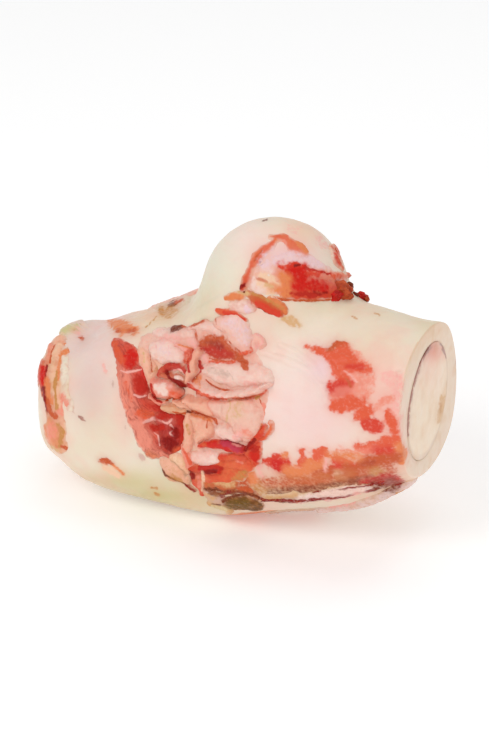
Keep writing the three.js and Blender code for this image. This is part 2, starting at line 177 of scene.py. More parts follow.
@dataclass(frozen=True)
class Side:
    """A direction to look from. Its plane has s to the right and t upwards, in millimetres."""

    azimuth: float
    elevation: float

    @property
    def axes(self) -> tuple[np.ndarray, np.ndarray, np.ndarray]:
        """The directions right, up, and out towards the eye."""
        a, e = math.radians(self.azimuth), math.radians(self.elevation)
        right = np.array([math.cos(a), math.sin(a), 0.0])
        out = np.array([math.sin(a) * math.cos(e), -math.cos(a) * math.cos(e), math.sin(e)])
        return right, np.cross(out, right), out

    @property
    def scale(self) -> float:
        """Millimetres to one unit of the plane."""
        return 1.0

    def plane(self, points: np.ndarray) -> np.ndarray:
        """Where points lie in the plane, shape (..., 2)."""
        right, up, _ = self.axes
        return np.stack([points @ right, points @ up], axis=-1)

    def facing(self, points: np.ndarray, normals: np.ndarray) -> np.ndarray:
        """How squarely a surface is turned to the eye: 1 is square, below 0 is turned away."""
        return normals @ self.axes[2]


@dataclass(frozen=True)
class Portrait(Side):
    """The photograph's own view. Its plane is the photograph's frame, in pixels, y downwards."""

    distance: float = 1044.6
    lens: float = 135.0
    sensor: float = 36.0
    frame_width: float = 489.0
    frame_height: float = 733.0
    aim_s: float = 3.7

    @property
    def scale(self) -> float:
        """Millimetres to the pixel at the target."""
        return self.distance / self.focal

    @property
    def focal(self) -> float:
        """The focal length in pixels."""
        return self.lens / self.sensor * self.frame_height

    @property
    def target(self) -> np.ndarray:
        """The point that the camera aims at."""
        return self.axes[0] * self.aim_s

    @property
    def eye(self) -> np.ndarray:
        """Where the camera stands."""
        return self.target + self.axes[2] * self.distance

    def plane(self, points: np.ndarray) -> np.ndarray:
        """The pixels at which points appear, by central projection."""
        right, up, out = self.axes
        off = points - self.target
        zoom = self.focal / (self.distance - off @ out)
        x = self.frame_width / 2 + zoom * (off @ right)
        y = self.frame_height / 2 - zoom * (off @ up)
        return np.stack([x, y], axis=-1)

    def facing(self, points: np.ndarray, normals: np.ndarray) -> np.ndarray:
        """How squarely a surface is turned to the camera."""
        return np.sum(unit(self.eye - points) * normals, axis=-1)

    def ray(self, pixel: np.ndarray) -> np.ndarray:
        """The direction from the camera through a pixel."""
        right, up, out = self.axes
        x = (pixel[..., 0:1] - self.frame_width / 2) / self.focal
        y = (self.frame_height / 2 - pixel[..., 1:2]) / self.focal
        return unit(x * right + y * up - out)


class View(Enum):
    """The sides that marks and rolls are placed from."""

    PHOTO = Portrait(23.4, 25.0)
    FRONT = Side(23.4, 25.0)
    LOW = Side(23.4, -20.0)
    END = Side(-62.0, 5.0)
    BACK = Side(190.0, 15.0)
    UNDER = Side(0.0, -90.0)


@dataclass(frozen=True)
class Section:
    """One section square to the shaft: a superellipse turned about the shaft by its tilt."""

    x: float
    centre_y: float
    centre_z: float
    half_depth: float
    half_height: float
    power: float
    tilt: float


@dataclass(frozen=True)
class LowForm:
    """A soft round rise of the bone's surface, or below 0 a hollow."""

    view: View
    s: float
    t: float
    along: float
    across: float
    height: float


@dataclass(frozen=True)
class KnuckleForm:
    """The bone's shape as a field: below 0 inside it, above 0 outside."""

    end_x: float = -77.8
    cap_x: float = -34.4
    cap_power: float = 3.16
    floor_blend: float = 2.0
    ball_centre: tuple[float, float, float] = (14.4, 5.0, 32.2)
    ball_radius: float = 27.5
    ball_blend: float = 9.0
    fade: tuple[float, float] = (-6.0, 10.0)
    sections: tuple[Section, ...] = (
        Section(-80, 2, -20.4, 34, 40.8, 2.7, 0),
        Section(-66, 2, -22.8, 36, 26.7, 2.7, 0),
        Section(-52, 2, -22.9, 37, 30.9, 2.7, 0),
        Section(-24, 2, -18.1, 38, 39, 2.6, 0),
        Section(2, 1.5, -11.2, 37, 47.4, 2.5, 0),
        Section(27, 0.5, -9.1, 35.5, 42.7, 2.3, 0),
        Section(60, -2.5, -3.8, 32.5, 38.4, 2.05, 20),
        Section(80, -4.3, 3.1, 29.4, 34.5, 1.72, 50),
    )
    low_forms: tuple[LowForm, ...] = (
        LowForm(View.FRONT, -12, -10, 19, 22, -5.5),
        LowForm(View.FRONT, -30, -12, 8, 24, -2.5),
        LowForm(View.FRONT, -54, -14, 14, 20, 2),
        LowForm(View.FRONT, 30, -14, 26, 16, 1.5),
        LowForm(View.BACK, 28, -6, 14, 16, -2.5),
        LowForm(View.BACK, 54, -26, 15, 16, 2.5),
        LowForm(View.END, 6, -8, 13, 9, -3),
    )
    samples: int = 3201
    cap_share: float = 0.3
    crowding: float = 0.4
    fan_x: float = 8.0
    fan_spread: float = 0.8
    fan_under_ball: float = 0.25
    aim_radius: float = 31.0
    ray_length: float = 140.0
    halvings: int = 24
    seen_before: float = 95.0
    seen_behind: float = 60.0
    seen_steps: int = 400

    @cached_property
    def tables(self) -> dict[str, np.ndarray]:
        """Each key of the sections along x, by cubics whose slopes come from the neighbours."""
        xs = np.array([section.x for section in self.sections])
        x = np.linspace(xs[0], xs[-1], self.samples)
        i = np.clip(np.searchsorted(xs, x, side="right") - 1, 0, len(xs) - 2)
        span = xs[i + 1] - xs[i]
        q = (x - xs[i]) / span
        before, after = np.maximum(np.arange(len(xs)) - 1, 0), np.minimum(np.arange(len(xs)) + 1, len(xs) - 1)
        result = {"x": x}
        for key in ("centre_y", "centre_z", "half_depth", "half_height", "power", "tilt"):
            value = np.array([getattr(section, key) for section in self.sections], float)
            slope = (value[after] - value[before]) / (xs[after] - xs[before])
            result[key] = (
                (2 * q**3 - 3 * q**2 + 1) * value[i]
                + (q**3 - 2 * q**2 + q) * span * slope[i]
                + (3 * q**2 - 2 * q**3) * value[i + 1]
                + (q**3 - q**2) * span * slope[i + 1]
            )
        return result

    def at(self, x: np.ndarray, key: str) -> np.ndarray:
        """The value of one key of the sections at x."""
        return np.interp(x, self.tables["x"], self.tables[key])

    def axis(self, x: np.ndarray) -> np.ndarray:
        """The middle of the section at x."""
        return np.stack([x, self.at(x, "centre_y"), self.at(x, "centre_z")], axis=-1)

    def field(self, p: np.ndarray) -> np.ndarray:
        """A superellipse section with a round cap, less the low forms, joined softly to the ball."""
        x = p[..., 0]
        tilt = np.radians(self.at(x, "tilt"))
        y, z = p[..., 1] - self.at(x, "centre_y"), p[..., 2] - self.at(x, "centre_z")
        depth, height, power = self.at(x, "half_depth"), self.at(x, "half_height"), self.at(x, "power")
        deep = np.abs(y * np.cos(tilt) + z * np.sin(tilt)) / depth
        high = np.abs(z * np.cos(tilt) - y * np.sin(tilt)) / height
        around = (deep**power + high**power) ** (1 / power)
        capped = np.maximum(0, (self.cap_x - x) / (self.cap_x - self.end_x))
        whole = (around**self.cap_power + capped**self.cap_power) ** (1 / self.cap_power)
        body = (whole - 1) * np.minimum(depth, height)
        for form in self.low_forms:
            right, up, out = form.view.value.axes
            ds, dt = (p @ right - form.s) / form.along, (p @ up - form.t) / form.across
            body = body - form.height * ramp(p @ out, *self.fade) * np.exp(-ds * ds - dt * dt)
        ball = np.linalg.norm(p - np.array(self.ball_centre), axis=-1) - self.ball_radius
        joined = soft_min(body, ball, self.ball_blend)
        return -soft_min(-joined, p[..., 2] - FLOOR_Z, self.floor_blend)

    def outward(self, p: np.ndarray, step: float = 0.05) -> np.ndarray:
        """The field's slope, as unit vectors that point out of the bone."""
        moves = np.eye(3) * step
        return unit(np.stack([self.field(p + move) - self.field(p - move) for move in moves], axis=-1))

    def cross(
        self, origin: np.ndarray, direction: np.ndarray, low: np.ndarray, high: np.ndarray
    ) -> np.ndarray:
        """The points at which rays come out of the bone, by halving.

        Args:
            origin: Where the rays start, shape (..., 3).
            direction: Where they go, as unit vectors.
            low: Distances at which they are still inside the bone.
            high: Distances at which they are outside it.

        Returns:
            Points of the skin, shape (..., 3).
        """
        for _ in range(self.halvings):
            middle = (low + high) / 2
            inside = self.field(origin + middle[..., None] * direction) < 0
            low, high = np.where(inside, middle, low), np.where(inside, high, middle)
        return origin + ((low + high) / 2)[..., None] * direction

    def aim_x(self, q: np.ndarray) -> np.ndarray:
        """The x that a row of rays aims at: evenly by angle in the cap, then crowded at the ball."""
        share = np.maximum(0, (q - self.cap_share) / (1 - self.cap_share))
        middle = (self.ball_centre[0] - self.cap_x) / (CUT_X - self.cap_x)
        waves = np.sin(2 * np.pi * (share - middle + 0.5)) - np.sin(2 * np.pi * (0.5 - middle))
        eased = share + self.crowding * waves / (2 * np.pi)
        angle = np.minimum(q / self.cap_share, 1) * np.pi / 2
        in_cap = self.cap_x - (self.cap_x - self.end_x) * np.cos(angle)
        return np.where(q < self.cap_share, in_cap, self.cap_x + (CUT_X - self.cap_x) * eased)

    def skin(self, q: np.ndarray, turn: np.ndarray) -> np.ndarray:
        """Points of the skin, where rays that fan out of a line inside the bone leave it.

        They aim at a tube round that line, are drawn together under the ball and stand square to
        the shaft at the cut.

        Args:
            q: Place along the bone, 0 at the far end and 1 at the saw cut.
            turn: Angle round the shaft, of the same shape.

        Returns:
            Points, shape (..., 3).
        """
        x = self.aim_x(q)
        angle = turn + self.crowding * np.cos(turn)
        c, s = np.cos(angle), np.sin(angle)
        cap_angle = np.minimum(q / self.cap_share, 1) * np.pi / 2
        reach = self.aim_radius * np.where(q < self.cap_share, np.sin(cap_angle), 1.0)
        aim = self.axis(x) + np.stack([0 * reach, reach * c, reach * s], axis=-1)
        up = np.maximum(s, 0) ** 2
        spread = self.fan_spread + (self.fan_under_ball - self.fan_spread) * up
        near_cut = np.clip((x - self.fan_x) / (CUT_X - self.fan_x), 0, 1) ** 4
        origin = self.axis(self.fan_x + (x - self.fan_x) * (spread + (1 - spread) * near_cut))
        far = np.full(q.shape, self.ray_length)
        return self.cross(origin, unit(aim - origin), np.zeros(q.shape), far)

    def seen(self, pixels: np.ndarray, view: Portrait) -> np.ndarray:
        """The skin where the camera sees it, or beside the bone the ray's nearest place to it.

        Args:
            pixels: Places in the photograph's frame, shape (n, 2).
            view: The camera.

        Returns:
            Points, shape (n, 3).
        """
        direction = view.ray(pixels)
        near, far = view.distance - self.seen_before, view.distance + self.seen_behind
        steps = np.linspace(near, far, self.seen_steps)
        values = self.field(view.eye + steps[:, None, None] * direction)
        inside = values < 0
        found = np.where(inside.any(axis=0), inside.argmax(axis=0), values.argmin(axis=0))
        return view.eye + steps[found][:, None] * direction


FORM = KnuckleForm()
PHOTO = View.PHOTO.value


@dataclass(frozen=True)
class Marrow:
    """The marrow's plug and the hole that holds it: an ellipse that narrows to a round end."""

    centre_z: float = 3.0
    half_depth: float = 21.5
    half_height: float = 22.5
    length: float = 62.0
    end_share: float = 0.62
    end_power: float = 8.0

    def outline(self, share: np.ndarray, angle: np.ndarray, shrink: float) -> np.ndarray:
        """The outline at a share of the length behind the cut.

        Args:
            share: 0 at the cut, 1 at the round end.
            angle: Angle round the marrow.
            shrink: How much smaller than the hole, in millimetres.

        Returns:
            Points, shape (..., 3).
        """
        size = (1 - (1 - self.end_share) * share) * np.sqrt(np.maximum(0, 1 - share**self.end_power))
        y = np.maximum(self.half_depth * size - shrink, 0) * np.cos(angle) + MARROW_CENTRE_Y
        z = np.maximum(self.half_height * size - shrink, 0) * np.sin(angle) + self.centre_z
        return np.stack(np.broadcast_arrays(CUT_X - share * (self.length - shrink), y, z), axis=-1)

    def centre(self, x: float) -> np.ndarray:
        """The marrow's middle at x."""
        return np.array([x, MARROW_CENTRE_Y, self.centre_z])


@dataclass(frozen=True)
class Stroke:
    """A mark, or with a height a roll of tissue, along a smooth route.

    The route holds three numbers for each point, its place across, its place down or up, and the
    half width, in the plane of its view: pixels of the photograph's frame for View.PHOTO,
    millimetres for the others.
    """

    tone: Tone
    route: tuple[float, ...]
    height: float = 0.0
    lean: float = 0.0
    square: float = 2.0
    strength: float = 1.0
    view: View = View.PHOTO
    bends: int = 4
    margin: float = 12.0

    @property
    def broadest(self) -> float:
        """The greatest half width, in millimetres."""
        return max(self.route[2::3]) * self.view.value.scale

    @cached_property
    def path(self) -> np.ndarray:
        """The route as a Catmull-Rom curve, a few points to each stretch."""
        points = np.array(self.route, float).reshape(-1, 3)
        padded = np.concatenate([2 * points[:1] - points[1:2], points, 2 * points[-1:] - points[-2:-1]])
        k = np.arange(self.bends)[:, None] / self.bends
        stretches = [
            0.5 * (2 * b + (c - a) * k + (2 * a - 5 * b + 4 * c - d) * k**2 + (3 * b - a - 3 * c + d) * k**3)
            for a, b, c, d in zip(padded[:-3], padded[1:-2], padded[2:-1], padded[3:])
        ]
        return np.concatenate([*stretches, points[-1:]])

    def measure(self, plane: np.ndarray) -> tuple[np.ndarray, np.ndarray, np.ndarray, np.ndarray]:
        """Where points of the plane lie against the stroke.

        Args:
            plane: Points, shape (n, 2).

        Returns:
            The distance beyond the border in millimetres, below 0 inside; the reach, 0 on the
            route and 1 on the border; the place across, -1 to 1; and the place along, in units.
        """
        count = len(plane)
        edge, reach = np.full(count, FAR_EDGE), np.full(count, FAR_REACH)
        across, along = np.zeros(count), np.zeros(count)
        path = self.path
        low, high = path[:, :2].min(0) - self.margin, path[:, :2].max(0) + self.margin
        low, high = low - path[:, 2].max(), high + path[:, 2].max()
        near = np.flatnonzero(np.all((plane > low) & (plane < high), axis=1))
        here = plane[near]
        best = np.full(len(near), np.inf)
        passed = 0.0
        for a, b in zip(path[:-1], path[1:]):
            step = b[:2] - a[:2]
            length = math.hypot(*step)
            if length < 1e-9:
                continue
            off = here - a[:2]
            k = np.clip(off @ step / length**2, 0, 1)
            off = off - k[:, None] * step
            distance = np.hypot(off[:, 0], off[:, 1])
            half = np.maximum(a[2] + k * (b[2] - a[2]), LEAST_HALF_WIDTH)
            closer = distance - half < best
            best = np.where(closer, distance - half, best)
            kept = near[closer]
            edge[kept] = (distance - half)[closer] * self.view.value.scale
            reach[kept] = (distance / half)[closer]
            turned = (step[0] * off[:, 1] - step[1] * off[:, 0]) / length
            across[kept] = np.clip(turned / half, -1, 1)[closer]
            along[kept] = (passed + k * length)[closer]
            passed += length
        return edge, reach, across, along


@dataclass(frozen=True)
class Zone:
    """A soft patch of ground colour: a bell over an ellipse in the plane of its view."""

    tone: Tone
    centre: tuple[float, float]
    radii: tuple[float, float]
    strength: float = 1.0
    view: View = View.PHOTO


def shape(height: float, *route: float, square: float = 2.0) -> Stroke:
    """A stroke for the surface's shape alone, whose tone isn't used."""
    return Stroke(Tone.CREAM, route, height, square=square)


def marks(*rows: tuple, view: View = View.PHOTO) -> tuple[Stroke, ...]:
    """Strokes of colour alone.

    Args:
        rows: For each, a tone, a strength, and the numbers of its route.
        view: The side that they are placed from.

    Returns:
        The strokes, in the rows' order.
    """
    return tuple(Stroke(row[0], row[2:], strength=row[1], view=view) for row in rows)


@dataclass
class Surface:
    """Points of a surface with what their paint is worked out from."""

    points: np.ndarray
    normals: np.ndarray
    wander: float = 0.35
    wander_grain: float = 3.0
    planes: dict = field(default_factory=dict)

    def plane(self, view: View) -> np.ndarray:
        """The points in a view's plane, wandering a little so that borders come out uneven."""
        if view not in self.planes:
            side = view.value
            shift = np.stack([clouds(self.points, self.wander_grain, seed) for seed in (11, 12)], axis=-1)
            self.planes[view] = side.plane(self.points) + shift * self.wander / side.scale
        return self.planes[view]

    def turned(self, view: View, low: float = -0.25, high: float = 0.1) -> np.ndarray:
        """1 where the surface is turned to a view, 0 where it is turned away."""
        return ramp(view.value.facing(self.points, self.normals), low, high)


class Canvas:
    """Ground colours, and colours of stains and of painted highlights and shade, for the vertices of one
    piece.
    """

    seep: float = 0.28
    seep_reach: float = 1.2
    fray_grains: tuple[float, float] = (3.2, 1.2)
    fray_fine: float = 0.7
    fray: tuple[float, float] = (0.5, 0.8)
    soft: tuple[float, float] = (0.7, 1.5)
    inset: tuple[float, float] = (0.15, 0.4)
    least_weight: float = 0.01

    def __init__(self, surface: Surface, ground: np.ndarray) -> None:
        """Starts from a ground colour for each vertex."""
        self.surface = surface
        self.ground = ground.copy()
        self.stain_and_painted_light = ground.copy()
        self.mask = np.zeros(len(ground))

    def wash(self, zones: tuple[Zone, ...]) -> None:
        """Blends soft zones into the ground, one after the other."""
        for zone in zones:
            plane = self.surface.plane(zone.view)
            off = (plane - np.array(zone.centre)) / np.array(zone.radii)
            weight = zone.strength * np.exp(-np.sum(off * off, axis=-1)) * self.surface.turned(zone.view)
            self.ground += weight[:, None] * (zone.tone.linear - self.ground)

    def mark(self, strokes: tuple[Stroke, ...]) -> None:
        """Lays stains, painted highlights and painted shade, each with a mask that falls from 1 to 0 across
        its stroke's border, which a noise frays.

        The fray, the border's softness and its inset are shares of the stroke's half width, up to
        a limit in millimetres. A little of each mark seeps into the ground round it.
        """
        points = self.surface.points
        coarse, fine = self.fray_grains
        noise = clouds(points, coarse, 13) + self.fray_fine * clouds(points, fine, 14, 2)
        for stroke in strokes:
            edge, *_ = stroke.measure(self.surface.plane(stroke.view))
            broad = stroke.broadest
            fray, soft, inset = (min(a * broad, b) for a, b in (self.fray, self.soft, self.inset))
            edge = edge + noise * fray - inset
            shown = self.surface.turned(stroke.view) * stroke.strength
            weight = ramp(-edge, -soft, soft) * shown
            faded = np.exp(-np.maximum(edge, 0) / self.seep_reach)
            seep = self.seep * min(broad, 1.0) * faded * shown
            self.ground += seep[:, None] * (stroke.tone.linear - self.ground)
            blend = np.clip(weight / np.maximum(np.maximum(weight, self.mask), 1e-6), 0, 1)
            self.stain_and_painted_light += (blend * (weight > self.least_weight))[:, None] * (stroke.tone.linear - self.stain_and_painted_light)
            self.mask = np.maximum(self.mask, weight)

    def tint(self, tone: Tone, weight: np.ndarray) -> None:
        """Mixes a tone into the ground by a weight for each vertex."""
        self.ground += np.clip(weight, 0, 1)[:, None] * (tone.linear - self.ground)


def bone_ground(surface: Surface) -> np.ndarray:
    """The bare bone's ground colour: cream and ivory, washed by its zones, with a little blush."""
    points = surface.points
    canvas = Canvas(surface, np.tile(Tone.CREAM.linear, (len(points), 1)))
    canvas.tint(Tone.IVORY, 0.5 + 0.6 * clouds(points, 22.0, 5))
    canvas.wash(BONE_ZONES)
    canvas.tint(Tone.BLUSH, 0.25 * ramp(clouds(points, 14.0, 6), 0.1, 0.8))
    return canvas.ground


def add_mesh(name: str, points: np.ndarray, quads: np.ndarray, triangles: np.ndarray) -> bpy.types.Object:
    """A smooth-shaded mesh object in the frame, from points in millimetres about the shaft.

    Args:
        name: The piece's name.
        points: Vertices, shape (n, 3).
        quads: Corner numbers of its four-sided faces, shape (m, 4).
        triangles: Corner numbers of its three-sided faces, shape (k, 3).

    Returns:
        The new object, at the origin.
    """
    mesh = bpy.data.meshes.new(name)
    corners = np.concatenate([quads.ravel(), triangles.ravel()]).astype(np.int32)
    sizes = np.concatenate([np.full(len(quads), 4), np.full(len(triangles), 3)]).astype(np.int32)
    mesh.vertices.add(len(points))
    mesh.vertices.foreach_set("co", ((points + SHIFT) * MM).astype(np.float32).ravel())
    mesh.loops.add(len(corners))
    mesh.loops.foreach_set("vertex_index", corners)
    mesh.polygons.add(len(sizes))
    mesh.polygons.foreach_set("loop_start", np.concatenate([[0], np.cumsum(sizes)[:-1]]).astype(np.int32))
    mesh.polygons.foreach_set("use_smooth", np.ones(len(sizes), bool))
    mesh.update(calc_edges=True)
    mesh.validate()
    piece = bpy.data.objects.new(name, mesh)
    bpy.context.scene.collection.objects.link(piece)
    return piece


def put_paint(piece: bpy.types.Object, canvas: Canvas, grain: np.ndarray) -> None:
    """Stores a canvas and a grain as attributes of a piece's points.

    Args:
        piece: The piece.
        canvas: Its ground colours, its colours of stains and painted highlights and shade, and its mask.
        grain: Coordinates that run along and across the fibres, shape (n, 3).
    """
    alpha = np.ones((len(grain), 1))
    layers = (
        ("ground", "FLOAT_COLOR", "color", np.concatenate([canvas.ground, alpha], axis=1)),
        # Stains, painted highlights and painted shade.
        ("stain_and_painted_light", "FLOAT_COLOR", "color", np.concatenate([canvas.stain_and_painted_light, alpha], axis=1)),
        ("mask", "FLOAT", "value", canvas.mask),
        ("grain", "FLOAT_VECTOR", "vector", grain),
    )
    for name, kind, key, values in layers:
        data = piece.data.attributes.new(name, kind, "POINT").data
        data.foreach_set(key, values.astype(np.float32).ravel())


def grid_normals(points: np.ndarray) -> np.ndarray:
    """Normals of a grid of points, by the cross product of its two differences."""
    return unit(np.cross(np.gradient(points, axis=1), np.gradient(points, axis=0)))


def ring_faces(rows: int, columns: int, first_pole: int, last_pole: int) -> tuple[np.ndarray, np.ndarray]:
    """Faces of a tube of rows that closes round its columns and ends in two poles.

    Args:
        rows: How many rows of vertices it has.
        columns: How many vertices each row has.
        first_pole: The number of the vertex before the first row.
        last_pole: The number of the vertex after the last row.

    Returns:
        The corners of its four-sided faces, and of its three-sided ones.
    """
    i = np.arange(rows - 1)[:, None] * columns
    j = np.arange(columns)[None, :]
    after = (j + 1) % columns
    quads = np.stack([i + j, i + after, i + columns + after, i + columns + j], axis=-1).reshape(-1, 4)
    j, after = j[0], after[0]
    last = (rows - 1) * columns
    start = np.stack([np.full(columns, first_pole), after, j], axis=-1)
    end = np.stack([np.full(columns, last_pole), last + j, last + after], axis=-1)
    return quads, np.concatenate([start, end])


class Graph:
    """The nodes of one material, each added with its settings and its inputs."""

    def __init__(self, material: bpy.types.Material) -> None:
        """Starts with no nodes at all."""
        material.use_nodes = True
        self.tree = material.node_tree
        self.tree.nodes.clear()

    def add(self, kind: str, inputs: dict | None = None, **settings: str) -> bpy.types.Node:
        """A new node.

        Args:
            kind: Its type, without the ShaderNode in front.
            inputs: For an input's name or number, the socket that it is linked to or its value.
            settings: The node's own settings, by name.

        Returns:
            The node.
        """
        node = self.tree.nodes.new("ShaderNode" + kind)
        for name, value in settings.items():
            setattr(node, name, value)
        for key, value in (inputs or {}).items():
            if isinstance(value, bpy.types.NodeSocket):
                self.tree.links.new(value, node.inputs[key])
            else:
                node.inputs[key].default_value = value
        return node

    def noise(self, scale: float, detail: float = 3.0) -> bpy.types.NodeSocket:
        """A noise on Object coordinates, as a value socket."""
        place = self.add("TexCoord").outputs["Object"]
        return self.add("TexNoise", {"Scale": scale, "Detail": detail, "Vector": place}).outputs["Fac"]

    def streaks(self) -> bpy.types.NodeSocket:
        """A noise drawn out along the grain attribute, as a value socket."""
        place = self.paint("grain", "Vector")
        return self.add("TexNoise", {"Scale": 1.0, "Detail": 3.0, "Vector": place}).outputs["Fac"]

    def paint(self, name: str, output: str) -> bpy.types.NodeSocket:
        """An attribute of the mesh as a socket."""
        return self.add("Attribute", attribute_name=name).outputs[output]

    def step(
        self, value: bpy.types.NodeSocket, span: tuple[float, float], to: tuple[float, float] = (0.0, 1.0)
    ) -> bpy.types.NodeSocket:
        """A value mapped by a smooth step from a span of values to a range."""
        names = ("Value", "From Min", "From Max", "To Min", "To Max")
        inputs = dict(zip(names, (value, *span, *to)))
        return self.add("MapRange", inputs, interpolation_type="SMOOTHSTEP").outputs["Result"]

    def mix(
        self, amount: bpy.types.NodeSocket, below: bpy.types.NodeSocket, above: bpy.types.NodeSocket | Tone
    ) -> bpy.types.NodeSocket:
        """Two colours mixed: an amount of 0 gives the one below, 1 the one above."""
        above = (*above.linear, 1.0) if isinstance(above, Tone) else above
        return self.add("Mix", {"Factor": amount, 6: below, 7: above}, data_type="RGBA").outputs[2]


@dataclass(frozen=True)
class Finish:
    """How one kind of tissue takes the light and how its colour breaks up."""

    name: str
    roughness: tuple[float, float] = (0.32, 0.5)
    coat: float = 0.15
    coat_roughness: float = 0.18
    specular: float = 0.45
    subsurface: float = 0.12
    radius: tuple[float, float, float] = (1.0, 0.45, 0.3)
    subsurface_scale: float = 0.002
    mottle: float = 0.10
    mottle_tone: Tone = Tone.BLUSH
    mottle_scale: float = 160.0
    mottle_range: tuple[float, float] = (0.45, 0.75)
    speckle: float = 0.0
    speckle_scale: float = 1500.0
    speckle_range: tuple[float, float] = (0.6, 0.7)
    fibre: float = 0.0
    fibre_tone: Tone = Tone.OXBLOOD
    fibre_range: tuple[float, float] = (0.45, 0.7)
    ragged: float = 1.1
    ragged_scale: float = 800.0
    ragged_half: float = 0.32
    mask_range: tuple[float, float] = (0.05, 0.4)
    pale: float = 0.36
    pale_scale: float = 900.0
    pale_range: tuple[float, float] = (0.48, 0.78)
    gloss_scale: float = 300.0
    gloss_range: tuple[float, float] = (0.35, 0.65)
    bump: float = 0.25
    bump_scale: float = 650.0
    bump_distance: float = 0.0004

    def material(self) -> bpy.types.Material:
        """The finish as a material that reads the paint attributes and Object coordinates."""
        material = bpy.data.materials.new(self.name)
        graph = Graph(material)
        inputs = {
            "Base Color": self._colour(graph),
            "Roughness": graph.step(graph.noise(self.gloss_scale), self.gloss_range, self.roughness),
            "Normal": self._relief(graph),
            "Specular IOR Level": self.specular,
            "Coat Weight": self.coat,
            "Coat Roughness": self.coat_roughness,
            "Subsurface Weight": self.subsurface,
            "Subsurface Radius": self.radius,
            "Subsurface Scale": self.subsurface_scale,
        }
        shader = graph.add("BsdfPrincipled", inputs)
        graph.add("OutputMaterial", {"Surface": shader.outputs["BSDF"]})
        return material

    def _colour(self, graph: Graph) -> bpy.types.NodeSocket:
        """Ground, mottled; fibres; then the stains and painted light where their mask and a noise pass a
        threshold.
        """
        ground, mask = graph.paint("ground", "Color"), graph.paint("mask", "Fac")
        blotch = graph.step(graph.noise(self.mottle_scale), self.mottle_range, (0.0, self.mottle))
        colour = graph.mix(blotch, ground, self.mottle_tone)
        if self.fibre > 0:
            streak = graph.step(graph.streaks(), self.fibre_range, (0.0, self.fibre))
            colour = graph.mix(streak, colour, self.fibre_tone)
        inputs = {0: graph.noise(self.ragged_scale, 6.0), 1: self.ragged, 2: mask}
        ragged = graph.add("Math", inputs, operation="MULTIPLY_ADD").outputs[0]
        low = 0.5 + self.ragged * 0.5 - self.ragged_half
        amount = graph.step(ragged, (low, low + 2 * self.ragged_half))
        inputs = {0: amount, 1: graph.step(mask, self.mask_range)}
        gate = graph.add("Math", inputs, operation="MULTIPLY").outputs[0]
        pale = graph.step(graph.noise(self.pale_scale, 5.0), self.pale_range, (0.0, self.pale))
        stain_and_painted_light = graph.mix(pale, graph.paint("stain_and_painted_light", "Color"), ground)
        colour = graph.mix(gate, colour, stain_and_painted_light)
        if self.speckle > 0:
            noise = graph.noise(self.speckle_scale, 1.0)
            dots = graph.step(noise, self.speckle_range, (0.0, self.speckle))
            colour = graph.mix(dots, colour, Tone.OCHRE)
        return colour

    def _relief(self, graph: Graph) -> bpy.types.NodeSocket:
        """Fine relief under the wet film, drawn out along the fibres where it has them."""
        height = graph.streaks() if self.fibre > 0 else graph.noise(self.bump_scale, 5.0)
        inputs = {"Strength": self.bump, "Distance": self.bump_distance, "Height": height}
        return graph.add("Bump", inputs).outputs["Normal"]


def finish_piece(piece: bpy.types.Object, finish: Finish, nodes: tuple[str, ...]) -> None:
    """Gives a piece its material and its body, and hides the frame's nodes that it takes the place of.

    Args:
        piece: The piece.
        finish: What it is made of.
        nodes: The frame's nodes that it takes the place of, if any.
    """
    piece.data.materials.append(finish.material())
    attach(piece, "root")
    if nodes:
        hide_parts(*nodes)
    LOG.info("%s: %d vertices", piece.name, len(piece.data.vertices))


@dataclass(frozen=True)
class Blotch:
    """Patches of stain where coarse clouds and a little of fine ones pass through a span."""

    tone: Tone
    coarse: tuple[float, int]
    fine: tuple[float, int]
    span: tuple[float, float]
    fine_share: float = 0.2

    def weight(self, points: np.ndarray) -> np.ndarray:
        """How strong the patches are at points, from 0 to 1."""
        return ramp(clouds(points, *self.coarse) + self.fine_share * clouds(points, *self.fine), *self.span)


